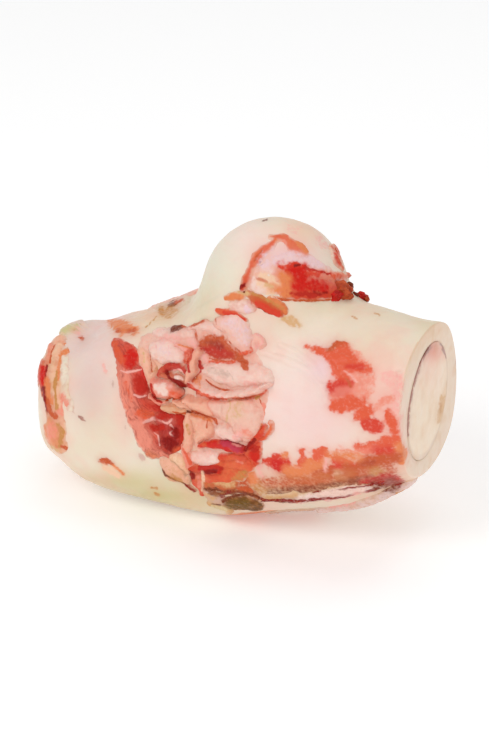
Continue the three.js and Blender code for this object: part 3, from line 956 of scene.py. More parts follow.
@dataclass
class Bone:
    """The bone: its skin, the rounded rim of the saw cut, the sawn face and the marrow's hole."""

    rows: int = 236
    columns: int = 372
    lookups: int = 4001
    bevel: float = 0.8
    bevel_steps: int = 4
    face_rows: int = 9
    hole_rows: int = 8
    crowding: float = 0.42
    lumps: float = 0.22
    fine_lumps: float = 0.06
    grit: float = 0.28
    grit_border: float = 1.5
    calm: tuple[float, float] = (0.3, 3.0)
    calm_share: float = 0.3
    saw_grit: float = 0.07
    saw_stretch: float = 0.12
    mouth_sink: float = 0.35
    hole_crowding: float = 0.6
    sawn_depth: float = 0.45
    sawn_patches: float = 0.25
    sawn_shade: float = 0.4
    sawn_shade_z: tuple[float, float] = (16.0, 36.0)
    hidden_range: tuple[float, float] = (-0.45, -0.12)
    hidden_top: float = 37.0
    hidden_strength: float = 0.7
    hidden_ground: float = 0.3
    blotches: tuple[Blotch, ...] = (
        Blotch(Tone.ORANGE, (7.0, 9), (2.0, 15), (0.4, 0.65)),
        Blotch(Tone.VERMILION, (13.0, 8), (2.4, 10), (0.34, 0.6)),
    )
    gloss: Finish = field(default_factory=lambda: BONE_FINISH)

    def rim_curve(self) -> tuple[np.ndarray, np.ndarray]:
        """Rows along the skin and how far each is drawn in: a quarter circle at the cut."""
        q = np.linspace(0.0, 1.0, self.lookups)
        end = np.interp(CUT_X - self.bevel, FORM.aim_x(q), q)
        rows = np.linspace(0.0, end, self.rows)[1:]
        angle = np.linspace(0.0, np.pi / 2, self.bevel_steps + 1)[1:]
        bent = np.interp(CUT_X - self.bevel * (1 - np.sin(angle)), FORM.aim_x(q), q)
        drawn = np.concatenate([np.zeros(len(rows)), self.bevel * (1 - np.cos(angle))])
        return np.concatenate([rows, bent]), drawn

    def turns(self) -> np.ndarray:
        """Angles round the shaft, closer together on the side that faces the camera."""
        even = np.linspace(0.0, 2 * np.pi, self.columns, endpoint=False)
        return even + self.crowding * np.sin(even)

    def relief(self, points: np.ndarray, normals: np.ndarray) -> np.ndarray:
        """Height over the plain form: slow lumps, gritty places, folds and nicks by strokes.

        Args:
            points: Points of the skin, shape (n, 3).
            normals: Their normals.

        Returns:
            Heights in millimetres, shape (n,).
        """
        surface = Surface(points, normals)
        height = self.lumps * clouds(points, 9.0, 1) + self.fine_lumps * clouds(points, 2.5, 2, 2)
        gritty = np.zeros(len(points))
        for stroke in GRITTY:
            edge, *_ = stroke.measure(surface.plane(stroke.view))
            inside = ramp(-edge, -self.grit_border, self.grit_border)
            gritty = np.maximum(gritty, inside * surface.turned(stroke.view))
        height += gritty * self.grit * clouds(points, 1.6, 3, 2)
        for stroke in BONE_RELIEF:
            edge, reach, across, _ = stroke.measure(surface.plane(stroke.view))
            arch = np.sqrt(np.clip(1 - reach**stroke.square, 0, 1)) * (1 + stroke.lean * across)
            height += stroke.height * np.where(edge < 0, arch, 0) * surface.turned(stroke.view)
        return height

    def build(self) -> bpy.types.Object:
        """Skin rows, face rows and hole rows as one closed tube between two poles."""
        q, drawn = self.rim_curve()
        turns = self.turns()
        grid_q, grid_turn = np.meshgrid(q, turns, indexing="ij")
        skin = FORM.skin(grid_q, grid_turn)
        normals = FORM.outward(skin)
        height = self.relief(skin.reshape(-1, 3), normals.reshape(-1, 3)).reshape(skin.shape[:2])
        off_cut = ramp(CUT_X - skin[..., 0], 0.0, self.calm[1])
        off_floor = ramp(skin[..., 2], FLOOR_Z + self.calm[0], FLOOR_Z + self.calm[1])
        left = self.calm_share + (1 - self.calm_share) * off_cut
        skin = skin + normals * (height * off_floor * left)[..., None]
        inward = unit((MARROW.centre(CUT_X) - skin) * np.array([0.0, 1.0, 1.0]))
        skin = skin + inward * drawn[:, None, None]
        skin[..., 0] = np.minimum(skin[..., 0], CUT_X)
        angle = turns + FORM.crowding * np.cos(turns)
        mouth = MARROW.outline(np.zeros(len(turns)), angle, 0.0)
        share = np.linspace(0.0, 1.0, self.face_rows + 1)[1:, None, None]
        face = skin[-1] * (1 - share) + mouth * share
        scores = clouds(face * np.array([1.0, 1.0, self.saw_stretch]), 1.1, 4, 2)
        sunk = self.mouth_sink * ramp(share[..., 0], 0.5, 1.0)
        face[..., 0] = CUT_X + (self.saw_grit * scores - sunk)
        deep = (np.linspace(0.0, 1.0, self.hole_rows + 1)[1:-1] ** self.hole_crowding)[:, None]
        hole = MARROW.outline(deep, angle[None, :], 0.0)
        grid = np.concatenate([skin, face, hole])
        poles = np.stack([FORM.skin(np.zeros(1), np.zeros(1))[0], mouth.mean(0)])
        poles[1, 0] = CUT_X - MARROW.length
        points = np.concatenate([grid.reshape(-1, 3), poles])
        quads, triangles = ring_faces(len(grid), len(turns), len(points) - 2, len(points) - 1)
        piece = add_mesh("bone_skin", points, quads, triangles)
        paint_normals = np.concatenate([grid_normals(grid).reshape(-1, 3), [[-1.0, 0, 0], [1.0, 0, 0]]])
        self.paint(piece, points, paint_normals)
        finish_piece(piece, self.gloss, ("bone",))
        return piece

    def paint(self, piece: bpy.types.Object, points: np.ndarray, normals: np.ndarray) -> None:
        """Cream bone and gristle, washed by zones, then stained where meat was cut away.

        Args:
            piece: The bone.
            points: Its vertices in millimetres, shape (n, 3).
            normals: Their normals.
        """
        surface = Surface(points, normals)
        canvas = Canvas(surface, bone_ground(surface))
        sawn = points[:, 0] > CUT_X - self.sawn_depth
        canvas.ground[sawn] = Tone.SAW.linear
        canvas.tint(Tone.TAN, self.sawn_patches * sawn * ramp(clouds(points, 5.0, 7), 0.0, 0.7))
        canvas.tint(Tone.TAN, self.sawn_shade * sawn * ramp(points[:, 2], *self.sawn_shade_z))
        canvas.mark(BONE_STAINS)
        hidden = 1 - surface.turned(View.PHOTO, *self.hidden_range)
        hidden = hidden * ~sawn * (points[:, 2] < self.hidden_top)
        for blotch in self.blotches:
            weight = blotch.weight(points) * hidden * self.hidden_strength
            canvas.tint(blotch.tone, self.hidden_ground * ramp(weight, 0.0, self.hidden_strength))
            canvas.stain_and_painted_light += (weight > canvas.mask)[:, None] * (blotch.tone.linear - canvas.stain_and_painted_light)
            canvas.mask = np.maximum(canvas.mask, weight)
        put_paint(piece, canvas, points)


@dataclass
class MarrowPlug:
    """The marrow: a plug in its hole, a little sunk and rolled over at its border."""

    rows: int = 20
    columns: int = 180
    side_rows: int = 12
    sink: float = 0.1
    roll: float = 0.5
    roll_steps: int = 5
    gap: float = 0.12
    crowding: float = 0.6
    lumps: float = 0.22
    grit: float = 0.1
    gloss: Finish = field(default_factory=lambda: MARROW_FINISH)

    def build(self) -> bpy.types.Object:
        """The back's rows, the rolled border and the face's rings, between two poles."""
        angle = np.linspace(0.0, 2 * np.pi, self.columns, endpoint=False)
        share = (1 - np.linspace(0.0, 1.0, self.side_rows + 2)[1:-1])[:, None] ** self.crowding
        side = MARROW.outline(share, angle[None, :], self.gap)
        rim = MARROW.outline(np.zeros(self.columns), angle, self.gap)
        centre = MARROW.centre(CUT_X)
        inward = unit(centre - rim)
        bend = np.linspace(0.0, np.pi / 2, self.roll_steps)[:, None]
        border = rim + inward * (self.roll * (1 - np.cos(bend)))[..., None]
        border[..., 0] = CUT_X - self.sink - self.roll * (1 - np.sin(bend))
        rings = np.linspace(1.0, 0.0, self.rows + 1)[1:-1, None, None]
        face = centre + (border[-1] - centre) * rings
        lumps, grit = clouds(face, 6.0, 21), clouds(face, 1.6, 22, 2)
        face[..., 0] = CUT_X - self.sink + self.lumps * lumps + self.grit * grit
        grid = np.concatenate([side, border, face])
        ends = np.stack([MARROW.centre(CUT_X - MARROW.length), MARROW.centre(CUT_X - self.sink)])
        points = np.concatenate([grid.reshape(-1, 3), ends])
        quads, triangles = ring_faces(len(grid), self.columns, len(points) - 2, len(points) - 1)
        piece = add_mesh("marrow_plug", points, quads, triangles)
        normals = np.tile([1.0, 0.0, 0.0], (len(points), 1))
        canvas = Canvas(Surface(points, normals), np.tile(Tone.MARROW.linear, (len(points), 1)))
        canvas.tint(Tone.TAN, 0.35 * ramp(clouds(points, 8.0, 23), 0.0, 0.9))
        out = np.hypot(points[:, 1] - MARROW_CENTRE_Y, points[:, 2] - MARROW.centre_z)
        # Painted shade along the plug's border, where it meets its hole.
        canvas.tint(Tone.PLUM, 0.3 * ramp(out, MARROW.half_depth - 1.6, MARROW.half_depth - 0.2))
        canvas.wash(MARROW_ZONES)
        # Stains, and painted shade in the gap at the border.
        canvas.mark(MARROW_STAINS_AND_GAP_SHADE)
        put_paint(piece, canvas, points)
        finish_piece(piece, self.gloss, ("marrow",))
        return piece


@dataclass(frozen=True)
class Arches:
    """What a sheet's rolls give each vertex: heights in millimetres, colour and grain."""

    top: np.ndarray
    fold: np.ndarray
    border: np.ndarray
    tones: np.ndarray
    grain: np.ndarray


@dataclass
class Layer:
    """Tissue laid on the bone: a closed sheet that rises in rolls and dips under the skin.

    Each roll is an arch over its stroke. The sheet's height is the highest arch, lowered where
    two arches meet, so that a crease is left between them, and it falls below the bone's skin
    outside all of them.
    """

    name: str
    slot: str
    nodes: tuple[str, ...]
    rolls: tuple[Stroke, ...]
    gloss: Finish
    marks: tuple[Stroke, ...] = ()
    hollows: tuple[Stroke, ...] = ()
    spacing: float = 0.3
    rim_tone: Tone = Tone.ORANGE
    rim_width: float = 0.35
    rim_strength: float = 0.25
    # The tone and strength of the painted shade in the creases where two rolls meet, in the creases' reddish
    # or brownish colour.
    crease_shade_tone: Tone = Tone.RUST
    fold_width: float = 0.25
    fold_depth: float = 0.15
    crease_shade_strength: float = 0.65
    flush: float = 0.3
    blend: float = 0.25
    gain: float = 0.55
    fade: tuple[float, float] = (-0.3, 0.8)
    lumps: float = 0.35
    grit: float = 0.0
    wander: float = 0.6
    paint_wander: float = 0.5
    sink: float = 0.5
    thickness: float = 0.7
    trim: float = 0.98
    coarse: tuple[int, int] = (150, 220)
    coarse_margin: float = 2.0
    first_q: tuple[float, float] = (0.02, 0.004)
    probes: int = 60
    arch_power: float = 0.8
    border_slope: float = 0.9
    hidden_drop: float = 3.0
    hidden_range: tuple[float, float] = (-0.3, 0.0)
    fold_rise: tuple[float, float] = (0.2, 1.0)
    lump_rise: tuple[float, float] = (-0.1, 0.8)
    fine_lumps: float = 0.1
    hollow_floor: float = 0.3
    grain_along: float = 0.4
    grain_across: float = 1.9
    grain_skin: float = 0.02
    border_fray: float = 0.5

    def window(self) -> tuple[np.ndarray, np.ndarray]:
        """The rows and turns of the skin that the rolls cover, a step apart of the spacing.

        Returns:
            Places along the bone, and angles round the shaft.
        """
        whole = np.linspace(self.first_q[0], 1, self.coarse[0])
        q, turn = np.meshgrid(whole, np.linspace(-np.pi, np.pi, self.coarse[1]))
        q, turn = q.ravel(), turn.ravel()
        points = FORM.skin(q, turn)
        surface = Surface(points, FORM.outward(points), self.wander)
        covered = np.zeros(len(points), bool)
        for roll in self.rolls:
            edge, *_ = roll.measure(surface.plane(roll.view))
            covered |= (edge < self.coarse_margin) & (surface.turned(roll.view) > 0)
        middle = np.angle(np.exp(1j * turn[covered]).mean())
        offset = np.angle(np.exp(1j * (turn[covered] - middle)))
        margin_q, margin_turn = 1.0 / self.coarse[0], 2 * np.pi / self.coarse[1]
        q_low, q_high = q[covered].min() - margin_q, min(q[covered].max() + margin_q, 1.0)
        low, high = middle + offset.min() - margin_turn, middle + offset.max() + margin_turn
        q_mid = np.full(self.probes, (q_low + q_high) / 2)
        t_mid = np.full(self.probes, (low + high) / 2)
        length = self._length(FORM.skin(np.linspace(q_low, q_high, self.probes), t_mid))
        width = self._length(FORM.skin(q_mid, np.linspace(low, high, self.probes)))
        rows, columns = int(length / self.spacing) + 2, int(width / self.spacing) + 2
        return np.linspace(max(q_low, self.first_q[1]), q_high, rows), np.linspace(low, high, columns)

    @staticmethod
    def _length(points: np.ndarray) -> float:
        """The length of a line of points."""
        return float(np.linalg.norm(np.diff(points, axis=0), axis=1).sum())

    def build(self) -> bpy.types.Object:
        """Lays the sheet, trims it outside its rolls, closes it underneath and paints it."""
        grid_q, grid_turn = np.meshgrid(*self.window(), indexing="ij")
        skin = FORM.skin(grid_q, grid_turn).reshape(-1, 3)
        surface = Surface(skin, FORM.outward(skin), self.wander)
        arches = self._arches(surface)
        height = self._height(surface, arches)
        outer = skin + surface.normals * height[:, None]
        outer[:, 2] = np.maximum(outer[:, 2], FLOOR_Z)
        inner = skin - surface.normals * (self.sink + self.thickness)
        kept = (height > -self.sink * self.trim).reshape(grid_q.shape)
        piece, used = self._close(outer, inner, kept)
        normals = grid_normals(outer.reshape(*grid_q.shape, 3)).reshape(-1, 3)
        if np.mean(np.sum(normals * surface.normals, axis=1)) < 0:
            normals = -normals
        canvas = self._paint(Surface(outer, normals, self.wander * self.paint_wander), skin, arches, height)
        for name in ("ground", "stain_and_painted_light", "mask"):
            setattr(canvas, name, np.concatenate([getattr(canvas, name)] * 2)[used])
        put_paint(piece, canvas, np.concatenate([arches.grain] * 2)[used])
        finish_piece(piece, self.gloss, self.nodes)
        return piece

    def _arches(self, surface: Surface) -> Arches:
        """Every roll's arch over the skin, and how the rolls share each place.

        A roll's share falls off exponentially as its arch lies below the highest, and the fold
        is 1 where the two highest arches meet.

        Args:
            surface: The bone's skin under the sheet.

        Returns:
            The highest arch, the folds, the distance beyond the border, colours and grain.
        """
        heights, tones, grains = [], [], []
        border = np.full(len(surface.points), FAR_REACH)
        for roll in self.rolls:
            edge, reach, across, along = roll.measure(surface.plane(roll.view))
            arch = np.clip(1 - reach**roll.square, 0, 1) ** self.arch_power
            raised = self.gain * roll.height * arch * (1 + roll.lean * across)
            drop = self.hidden_drop * (1 - surface.turned(roll.view, *self.hidden_range))
            heights.append(np.where(edge < 0, raised, -self.border_slope * edge) - drop)
            border = np.minimum(border, edge + drop)
            tones.append(roll.tone.linear)
            run = along * roll.view.value.scale * self.grain_along
            grains.append(np.stack([run, across * roll.broadest * self.grain_across, 0 * across], axis=-1))
        heights = np.stack(heights)
        second, top = np.sort(heights, axis=0)[-2:]
        fold = np.exp(-(top - second) / self.fold_width) * ramp(second, *self.fold_rise)
        weights = np.exp((heights - top) / self.blend)
        weights /= weights.sum(0)
        grain = np.einsum("rn,rnk->nk", weights, np.stack(grains)) + surface.points * self.grain_skin
        return Arches(top, fold, border, weights.T @ np.stack(tones), grain)

    def _height(self, surface: Surface, arches: Arches) -> np.ndarray:
        """The sheet's height: the highest arch with lumps, less the folds and the hollows."""
        skin = surface.points
        up = ramp(arches.top, *self.lump_rise)
        lumps = self.lumps * clouds(skin, 4.5, 31) + self.fine_lumps * clouds(skin, 1.5, 32, 2)
        height = arches.top + up * lumps
        height += up * self.grit * clouds(skin, 1.1, 33, 2) - self.fold_depth * arches.fold
        for hollow in self.hollows:
            _, reach, *_ = hollow.measure(surface.plane(hollow.view))
            dip = hollow.height * np.clip(1 - reach**hollow.square, 0, 1)
            height = np.maximum(height - dip, np.minimum(height, self.hollow_floor))
        return np.maximum(height, -self.sink)

    def _paint(self, painted: Surface, skin: np.ndarray, arches: Arches, height: np.ndarray) -> Canvas:
        """The rolls' colours over the bone's, with painted shade in the folds and a tint at the rim, then
        marked.

        Args:
            painted: The sheet's outer surface.
            skin: The bone's skin under it, shape (n, 3).
            arches: What the rolls give each vertex.
            height: The sheet's height over the skin, shape (n,).

        Returns:
            The painted canvas.
        """
        canvas = Canvas(painted, bone_ground(painted))
        cover = ramp(-arches.border + self.border_fray * clouds(skin, 1.6, 34), *self.fade)[:, None]
        canvas.ground += cover * (arches.tones - canvas.ground)
        canvas.tint(self.rim_tone, self.flush * ramp(clouds(skin, 6.0, 35), -0.1, 0.7))
        # Painted shade in the creases where two rolls meet.
        canvas.tint(self.crease_shade_tone, self.crease_shade_strength * arches.fold)
        canvas.tint(self.rim_tone, self.rim_strength * np.exp(-np.maximum(height, 0) / self.rim_width))
        canvas.mark(self.marks)
        return canvas

    def _close(
        self, outer: np.ndarray, inner: np.ndarray, kept: np.ndarray
    ) -> tuple[bpy.types.Object, np.ndarray]:
        """A shell from the quads with a kept corner: top, bottom, and walls round every border.

        Args:
            outer: The sheet's top, shape (n, 3).
            inner: Its underside, of the same shape.
            kept: Which vertices are part of it, on the grid.

        Returns:
            The piece, and the numbers of its vertices in outer followed by inner.
        """
        rows, columns = kept.shape
        number = np.arange(rows * columns).reshape(rows, columns)
        quads = np.stack([number[:-1, :-1], number[:-1, 1:], number[1:, 1:], number[1:, :-1]], axis=-1)
        some = kept[:-1, :-1] | kept[:-1, 1:] | kept[1:, 1:] | kept[1:, :-1]
        quads = quads[some]
        count = rows * columns
        middle = quads[len(quads) // 2]
        face = np.cross(outer[middle[1]] - outer[middle[0]], outer[middle[3]] - outer[middle[0]])
        if face @ (outer[middle[0]] - inner[middle[0]]) < 0:
            quads = quads[:, ::-1]
        edges = np.concatenate([quads[:, [k, (k + 1) % 4]] for k in range(4)])
        lone = edges[~np.isin(edges[:, 0] * count + edges[:, 1], edges[:, 1] * count + edges[:, 0])]
        walls = np.stack([lone[:, 1], lone[:, 0], lone[:, 0] + count, lone[:, 1] + count], axis=-1)
        faces = np.concatenate([quads, quads[:, ::-1] + count, walls])
        used, renumbered = np.unique(faces, return_inverse=True)
        points = np.concatenate([outer, inner])[used]
        return add_mesh(self.name, points, renumbered.reshape(-1, 4), np.zeros((0, 3), int)), used


@dataclass(frozen=True)
class Scrap:
    """A lump of torn meat, placed by the pixel that shows its middle."""

    pixel: tuple[float, float]
    half: tuple[float, float, float]
    turn: float = 0.0
    lift: float = 0.0
    tone: Tone = Tone.RUST


@dataclass
class Scraps:
    """Torn scraps: ellipsoids crumpled by noise, each set on the skin where it is seen."""

    name: str
    slot: str
    scraps: tuple[Scrap, ...]
    gloss: Finish
    rows: int = 30
    columns: int = 44
    crumple: float = 0.34
    fine_crumple: float = 0.16
    ball_scale: tuple[float, float] = (4.0, 9.0)
    apart: tuple[float, float] = (9.1, 5.0)
    darkened: float = 0.5

    def build(self) -> bpy.types.Object:
        """All the lumps as one piece."""
        right, up, out = PHOTO.axes
        polar = np.linspace(0.0, np.pi, self.rows + 2)[1:-1, None]
        around = np.linspace(0.0, 2 * np.pi, self.columns, endpoint=False)[None, :]
        flat = np.sin(polar)
        parts = np.broadcast_arrays(flat * np.cos(around), flat * np.sin(around), np.cos(polar))
        ball = np.stack(parts, axis=-1)
        ball = np.concatenate([ball.reshape(-1, 3), [[0, 0, 1.0], [0, 0, -1.0]]])
        all_points, all_quads, all_triangles, grounds = [], [], [], []
        start = 0
        for number, scrap in enumerate(self.scraps):
            centre = FORM.seen(np.array([scrap.pixel]), PHOTO)[0] + out * scrap.lift
            c, s = math.cos(math.radians(scrap.turn)), math.sin(math.radians(scrap.turn))
            frame_axes = np.stack([right * c + up * s, up * c - right * s, out])
            coarse = clouds(ball * self.ball_scale[0] + number * self.apart[0], 2.6, 41)
            fine = clouds(ball * self.ball_scale[1] + number * self.apart[1], 1.9, 42, 2)
            size = 1 + self.crumple * coarse + self.fine_crumple * fine
            points = centre + (ball * size[:, None] * np.array(scrap.half)) @ frame_axes
            quads, triangles = ring_faces(self.rows, self.columns, len(ball) - 2, len(ball) - 1)
            all_points.append(points)
            all_quads.append(quads[:, ::-1] + start)
            all_triangles.append(triangles[:, ::-1] + start)
            ground = np.tile(scrap.tone.linear, (len(points), 1))
            dark = ramp(clouds(points, 2.2, 43), -0.2, 0.6)[:, None]
            grounds.append(ground + dark * self.darkened * (Tone.OXBLOOD.linear - ground))
            start += len(points)
        points = np.concatenate(all_points)
        piece = add_mesh(self.name, points, np.concatenate(all_quads), np.concatenate(all_triangles))
        put_paint(piece, Canvas(Surface(points, points), np.concatenate(grounds)), points * 0.3)
        finish_piece(piece, self.gloss, ())
        return piece


@dataclass(frozen=True)
class Lamp:
    """A square area lamp: its place and side in metres, and its watts."""

    name: str
    place: tuple[float, float, float]
    size: float
    watts: float


@dataclass
class Studio:
    """A pale floor, soft light from above and both sides, and the photograph's camera."""

    view_end: float = 20.0
    floor_size: float = 6.0
    floor_tone: tuple[float, float, float] = (0.93, 0.93, 0.93)
    floor_roughness: float = 0.9
    floor_glow: float = 0.2
    world_strength: float = 0.6
    aim: tuple[float, float, float] = (0.0, 0.0, 0.05)
    lamps: tuple[Lamp, ...] = (
        Lamp("key", (-0.45, -0.85, 0.95), 0.6, 4.4),
        Lamp("fill", (0.9, -0.7, 0.6), 0.8, 1.8),
        Lamp("top", (0.1, 0.4, 1.2), 0.9, 2.6),
    )

    def camera(self) -> None:
        """The camera at the photograph's angle, its long side 36 mm wide."""
        right, up, out = (Vector(axis) for axis in PHOTO.axes)
        data = bpy.data.cameras.new("camera")
        data.lens, data.sensor_width = PHOTO.lens, PHOTO.sensor
        data.clip_end = self.view_end
        camera = bpy.data.objects.new("camera", data)
        place = Matrix((right, up, out)).transposed().to_4x4()
        place.translation = Vector((PHOTO.eye + SHIFT) * MM)
        camera.matrix_world = place
        bpy.context.scene.collection.objects.link(camera)
        bpy.context.scene.camera = camera

    def light(self, lamp: Lamp) -> None:
        """An area lamp that looks at the bone's middle."""
        data = bpy.data.lights.new(lamp.name, "AREA")
        data.size, data.energy = lamp.size, lamp.watts
        light = bpy.data.objects.new(lamp.name, data)
        turn = (Vector(self.aim) - Vector(lamp.place)).to_track_quat("-Z", "Y")
        light.matrix_world = Matrix.Translation(lamp.place) @ turn.to_matrix().to_4x4()
        bpy.context.scene.collection.objects.link(light)

    def world(self) -> None:
        """A plain white surround."""
        world = bpy.data.worlds.new("studio")
        world.use_nodes = True
        background = world.node_tree.nodes["Background"]
        background.inputs["Color"].default_value = (1.0, 1.0, 1.0, 1.0)
        background.inputs["Strength"].default_value = self.world_strength
        bpy.context.scene.world = world
        bpy.context.scene.view_settings.view_transform = "Standard"

    def floor(self) -> None:
        """A square, pale floor."""
        half = self.floor_size / 2
        mesh = bpy.data.meshes.new("floor")
        corners = [(-half, -half, 0), (half, -half, 0), (half, half, 0), (-half, half, 0)]
        mesh.from_pydata(corners, [], [(0, 1, 2, 3)])
        floor = bpy.data.objects.new("floor", mesh)
        bpy.context.scene.collection.objects.link(floor)
        material = bpy.data.materials.new("floor")
        material.use_nodes = True
        shader = material.node_tree.nodes["Principled BSDF"]
        shader.inputs["Base Color"].default_value = (*self.floor_tone, 1.0)
        shader.inputs["Roughness"].default_value = self.floor_roughness
        shader.inputs["Emission Color"].default_value = (1.0, 1.0, 1.0, 1.0)
        shader.inputs["Emission Strength"].default_value = self.floor_glow
        mesh.materials.append(material)

    def build(self) -> None:
        """Everything but the object."""
        self.camera()
        self.world()
        for lamp in self.lamps:
            self.light(lamp)
        self.floor()


SHIFT = np.zeros(3)
MARROW = Marrow()
BONE_FINISH = Finish("bone_gristle", roughness=(0.34, 0.52), coat=0.05, specular=0.25, mottle=0.10)
MARROW_FINISH = Finish("marrow_fat", roughness=(0.35, 0.5), mottle=0.2, mottle_tone=Tone.TAN, bump=0.35)
FAT_FINISH = Finish(
    "soft_fat", roughness=(0.28, 0.5), coat=0.1, specular=0.3, subsurface=0.15, mottle=0.3,
    mottle_tone=Tone.SALMON, mottle_scale=420.0, bump=0.8, bump_scale=520.0, bump_distance=0.0007,
)
MEAT_FINISH = Finish(
    "red_meat", roughness=(0.28, 0.5), coat=0.05, coat_roughness=0.12, specular=0.1, subsurface=0.06,
    mottle=0.35, mottle_tone=Tone.CORAL, mottle_scale=330.0, fibre=0.45, bump=0.8, bump_distance=0.0007,
)
BALL_FINISH = Finish(
    "smeared_meat", roughness=(0.3, 0.5), coat=0.05, specular=0.12, subsurface=0.06, mottle=0.35,
    mottle_tone=Tone.ORANGE, mottle_scale=420.0, bump=0.9, bump_distance=0.0006,
)
FASCIA_FINISH = Finish(
    "fascia", roughness=(0.34, 0.55), coat=0.03, specular=0.18, subsurface=0.06, mottle=0.35,
    mottle_tone=Tone.OCHRE, mottle_scale=420.0, speckle=0.35, bump=0.8,
)
SINEW_FINISH = Finish(
    "sinew", roughness=(0.3, 0.5), coat=0.05, specular=0.15, mottle=0.35, mottle_tone=Tone.RUST,
    mottle_scale=380.0, bump=0.7,
)
SCRAP_FINISH = Finish(
    "torn_meat", roughness=(0.3, 0.5), coat=0.05, specular=0.2, mottle=0.5, mottle_tone=Tone.OXBLOOD,
    mottle_scale=420.0, bump=0.8, bump_distance=0.0008,
)

GRITTY = (
    shape(0, 250, 482, 14, 300, 482, 14, 350, 478, 13, 395, 472, 12),
    shape(0, 340, 352, 8, 355, 375, 14, 350, 405, 10, 385, 425, 9),
    shape(0, 120, 328, 12, 150, 318, 10, 180, 304, 8),
)
BONE_RELIEF = (
    shape(1, 118, 326, 6, 140, 321, 6, 158, 314, 5),
    shape(1.3, 160, 308, 4, 172, 303, 5, 186, 300, 4),
    shape(1.4, 63, 331, 4, 71, 328, 5, 81, 325, 4),
    shape(0.8, 190, 322, 5, 205, 312, 7, 222, 303, 8),
    shape(0.4, 262, 352, 3, 290, 362, 4, 315, 378, 4, 327, 400, 3),
    shape(0.35, 280, 345, 3, 305, 358, 3, 322, 380, 3),
    shape(0.5, 318, 349, 3, 340, 360, 7, 352, 376, 10, 345, 400, 9),
    shape(0.6, 104, 462, 3, 120, 470, 4),
    shape(0.5, 399, 372, 1.6, 398, 400, 1.8, 400, 430, 1.6, 404, 456, 1.4),
)
BONE_ZONES = (
    Zone(Tone.GREY_CREAM, (210, 262), (30, 50), 0.9),
    Zone(Tone.ROSE, (248, 238), (28, 26), 0.7),
    Zone(Tone.PINK, (292, 262), (30, 22), 0.9),
    Zone(Tone.PEACH, (305, 228), (26, 16), 0.6),
    Zone(Tone.IVORY, (320, 244), (12, 10), 0.4),
    Zone(Tone.LAVENDER, (284, 258), (26, 14), 0.7),
    Zone(Tone.SALMON, (262, 256), (14, 14), 0.4),
    Zone(Tone.SALMON, (247, 284), (7, 12), 0.45),
    Zone(Tone.SALMON, (296, 246), (14, 9), 0.4),
    Zone(Tone.OLIVE_TINT, (203, 300), (15, 22), 0.35),
    Zone(Tone.TAN, (160, 316), (36, 12), 0.4),
    Zone(Tone.PINK, (102, 345), (26, 24), 0.75),
    Zone(Tone.GRISTLE, (92, 380), (28, 36), 0.85),
    Zone(Tone.CLAY, (92, 396), (20, 30), 0.4),
    Zone(Tone.BLUSH, (124, 402), (10, 40), 0.5),
    Zone(Tone.PEACH, (62, 380), (8, 50), 0.6),
    Zone(Tone.OLIVE_TINT, (120, 482), (62, 12), 0.75),
    Zone(Tone.STRAW, (190, 505), (40, 12), 0.6),
    Zone(Tone.OLIVE_TINT, (160, 496), (50, 9), 0.85),
    Zone(Tone.ROSE, (290, 400), (54, 62), 0.95),
    Zone(Tone.PINK, (322, 424), (48, 36), 0.75),
    Zone(Tone.LAVENDER, (322, 366), (16, 18), 0.8),
    Zone(Tone.BLUSH, (258, 344), (14, 14), 0.5),
    Zone(Tone.PEACH, (385, 360), (22, 30), 0.3),
    Zone(Tone.SALMON, (352, 378), (16, 24), 0.7),
    Zone(Tone.BLUSH, (384, 404), (18, 40), 0.7),
    Zone(Tone.TAN, (320, 484), (90, 14), 0.85),
    Zone(Tone.IVORY, (268, 472), (14, 10), 0.7),
    Zone(Tone.CLAY, (225, 470), (30, 24), 0.6),
    Zone(Tone.FAT_PEACH, (190, 432), (10, 50), 0.9),
    Zone(Tone.FAT_PEACH, (150, 352), (20, 16), 0.6),
    Zone(Tone.FAT_PEACH, (155, 363), (9, 10), 0.9),
    Zone(Tone.SALMON, (50, 392), (7, 30), 0.7),
    Zone(Tone.ORANGE, (53, 434), (9, 15), 0.6),
    Zone(Tone.PEACH, (60, 352), (14, 10), 0.5),
    Zone(Tone.SALMON, (322, 474), (80, 12), 0.4),
    Zone(Tone.BLUSH, (250, 308), (36, 16), 0.4),
    Zone(Tone.STRAW, (350, 308), (60, 10), 0.35),
    Zone(Tone.STRAW, (428, 322), (14, 10), 0.5),
    Zone(Tone.ROSE, (-40, 2), (28, 18), 0.9, View.BACK),
    Zone(Tone.PINK, (-52, -16), (20, 14), 0.6, View.BACK),
    Zone(Tone.BLUSH, (-12, 0), (22, 14), 0.5, View.BACK),
    Zone(Tone.GRISTLE, (62, -2), (18, 26), 0.8, View.BACK),
    Zone(Tone.OLIVE_TINT, (8, -38), (52, 9), 0.6, View.BACK),
    Zone(Tone.PEACH, (26, 4), (20, 14), 0.6, View.BACK),
)
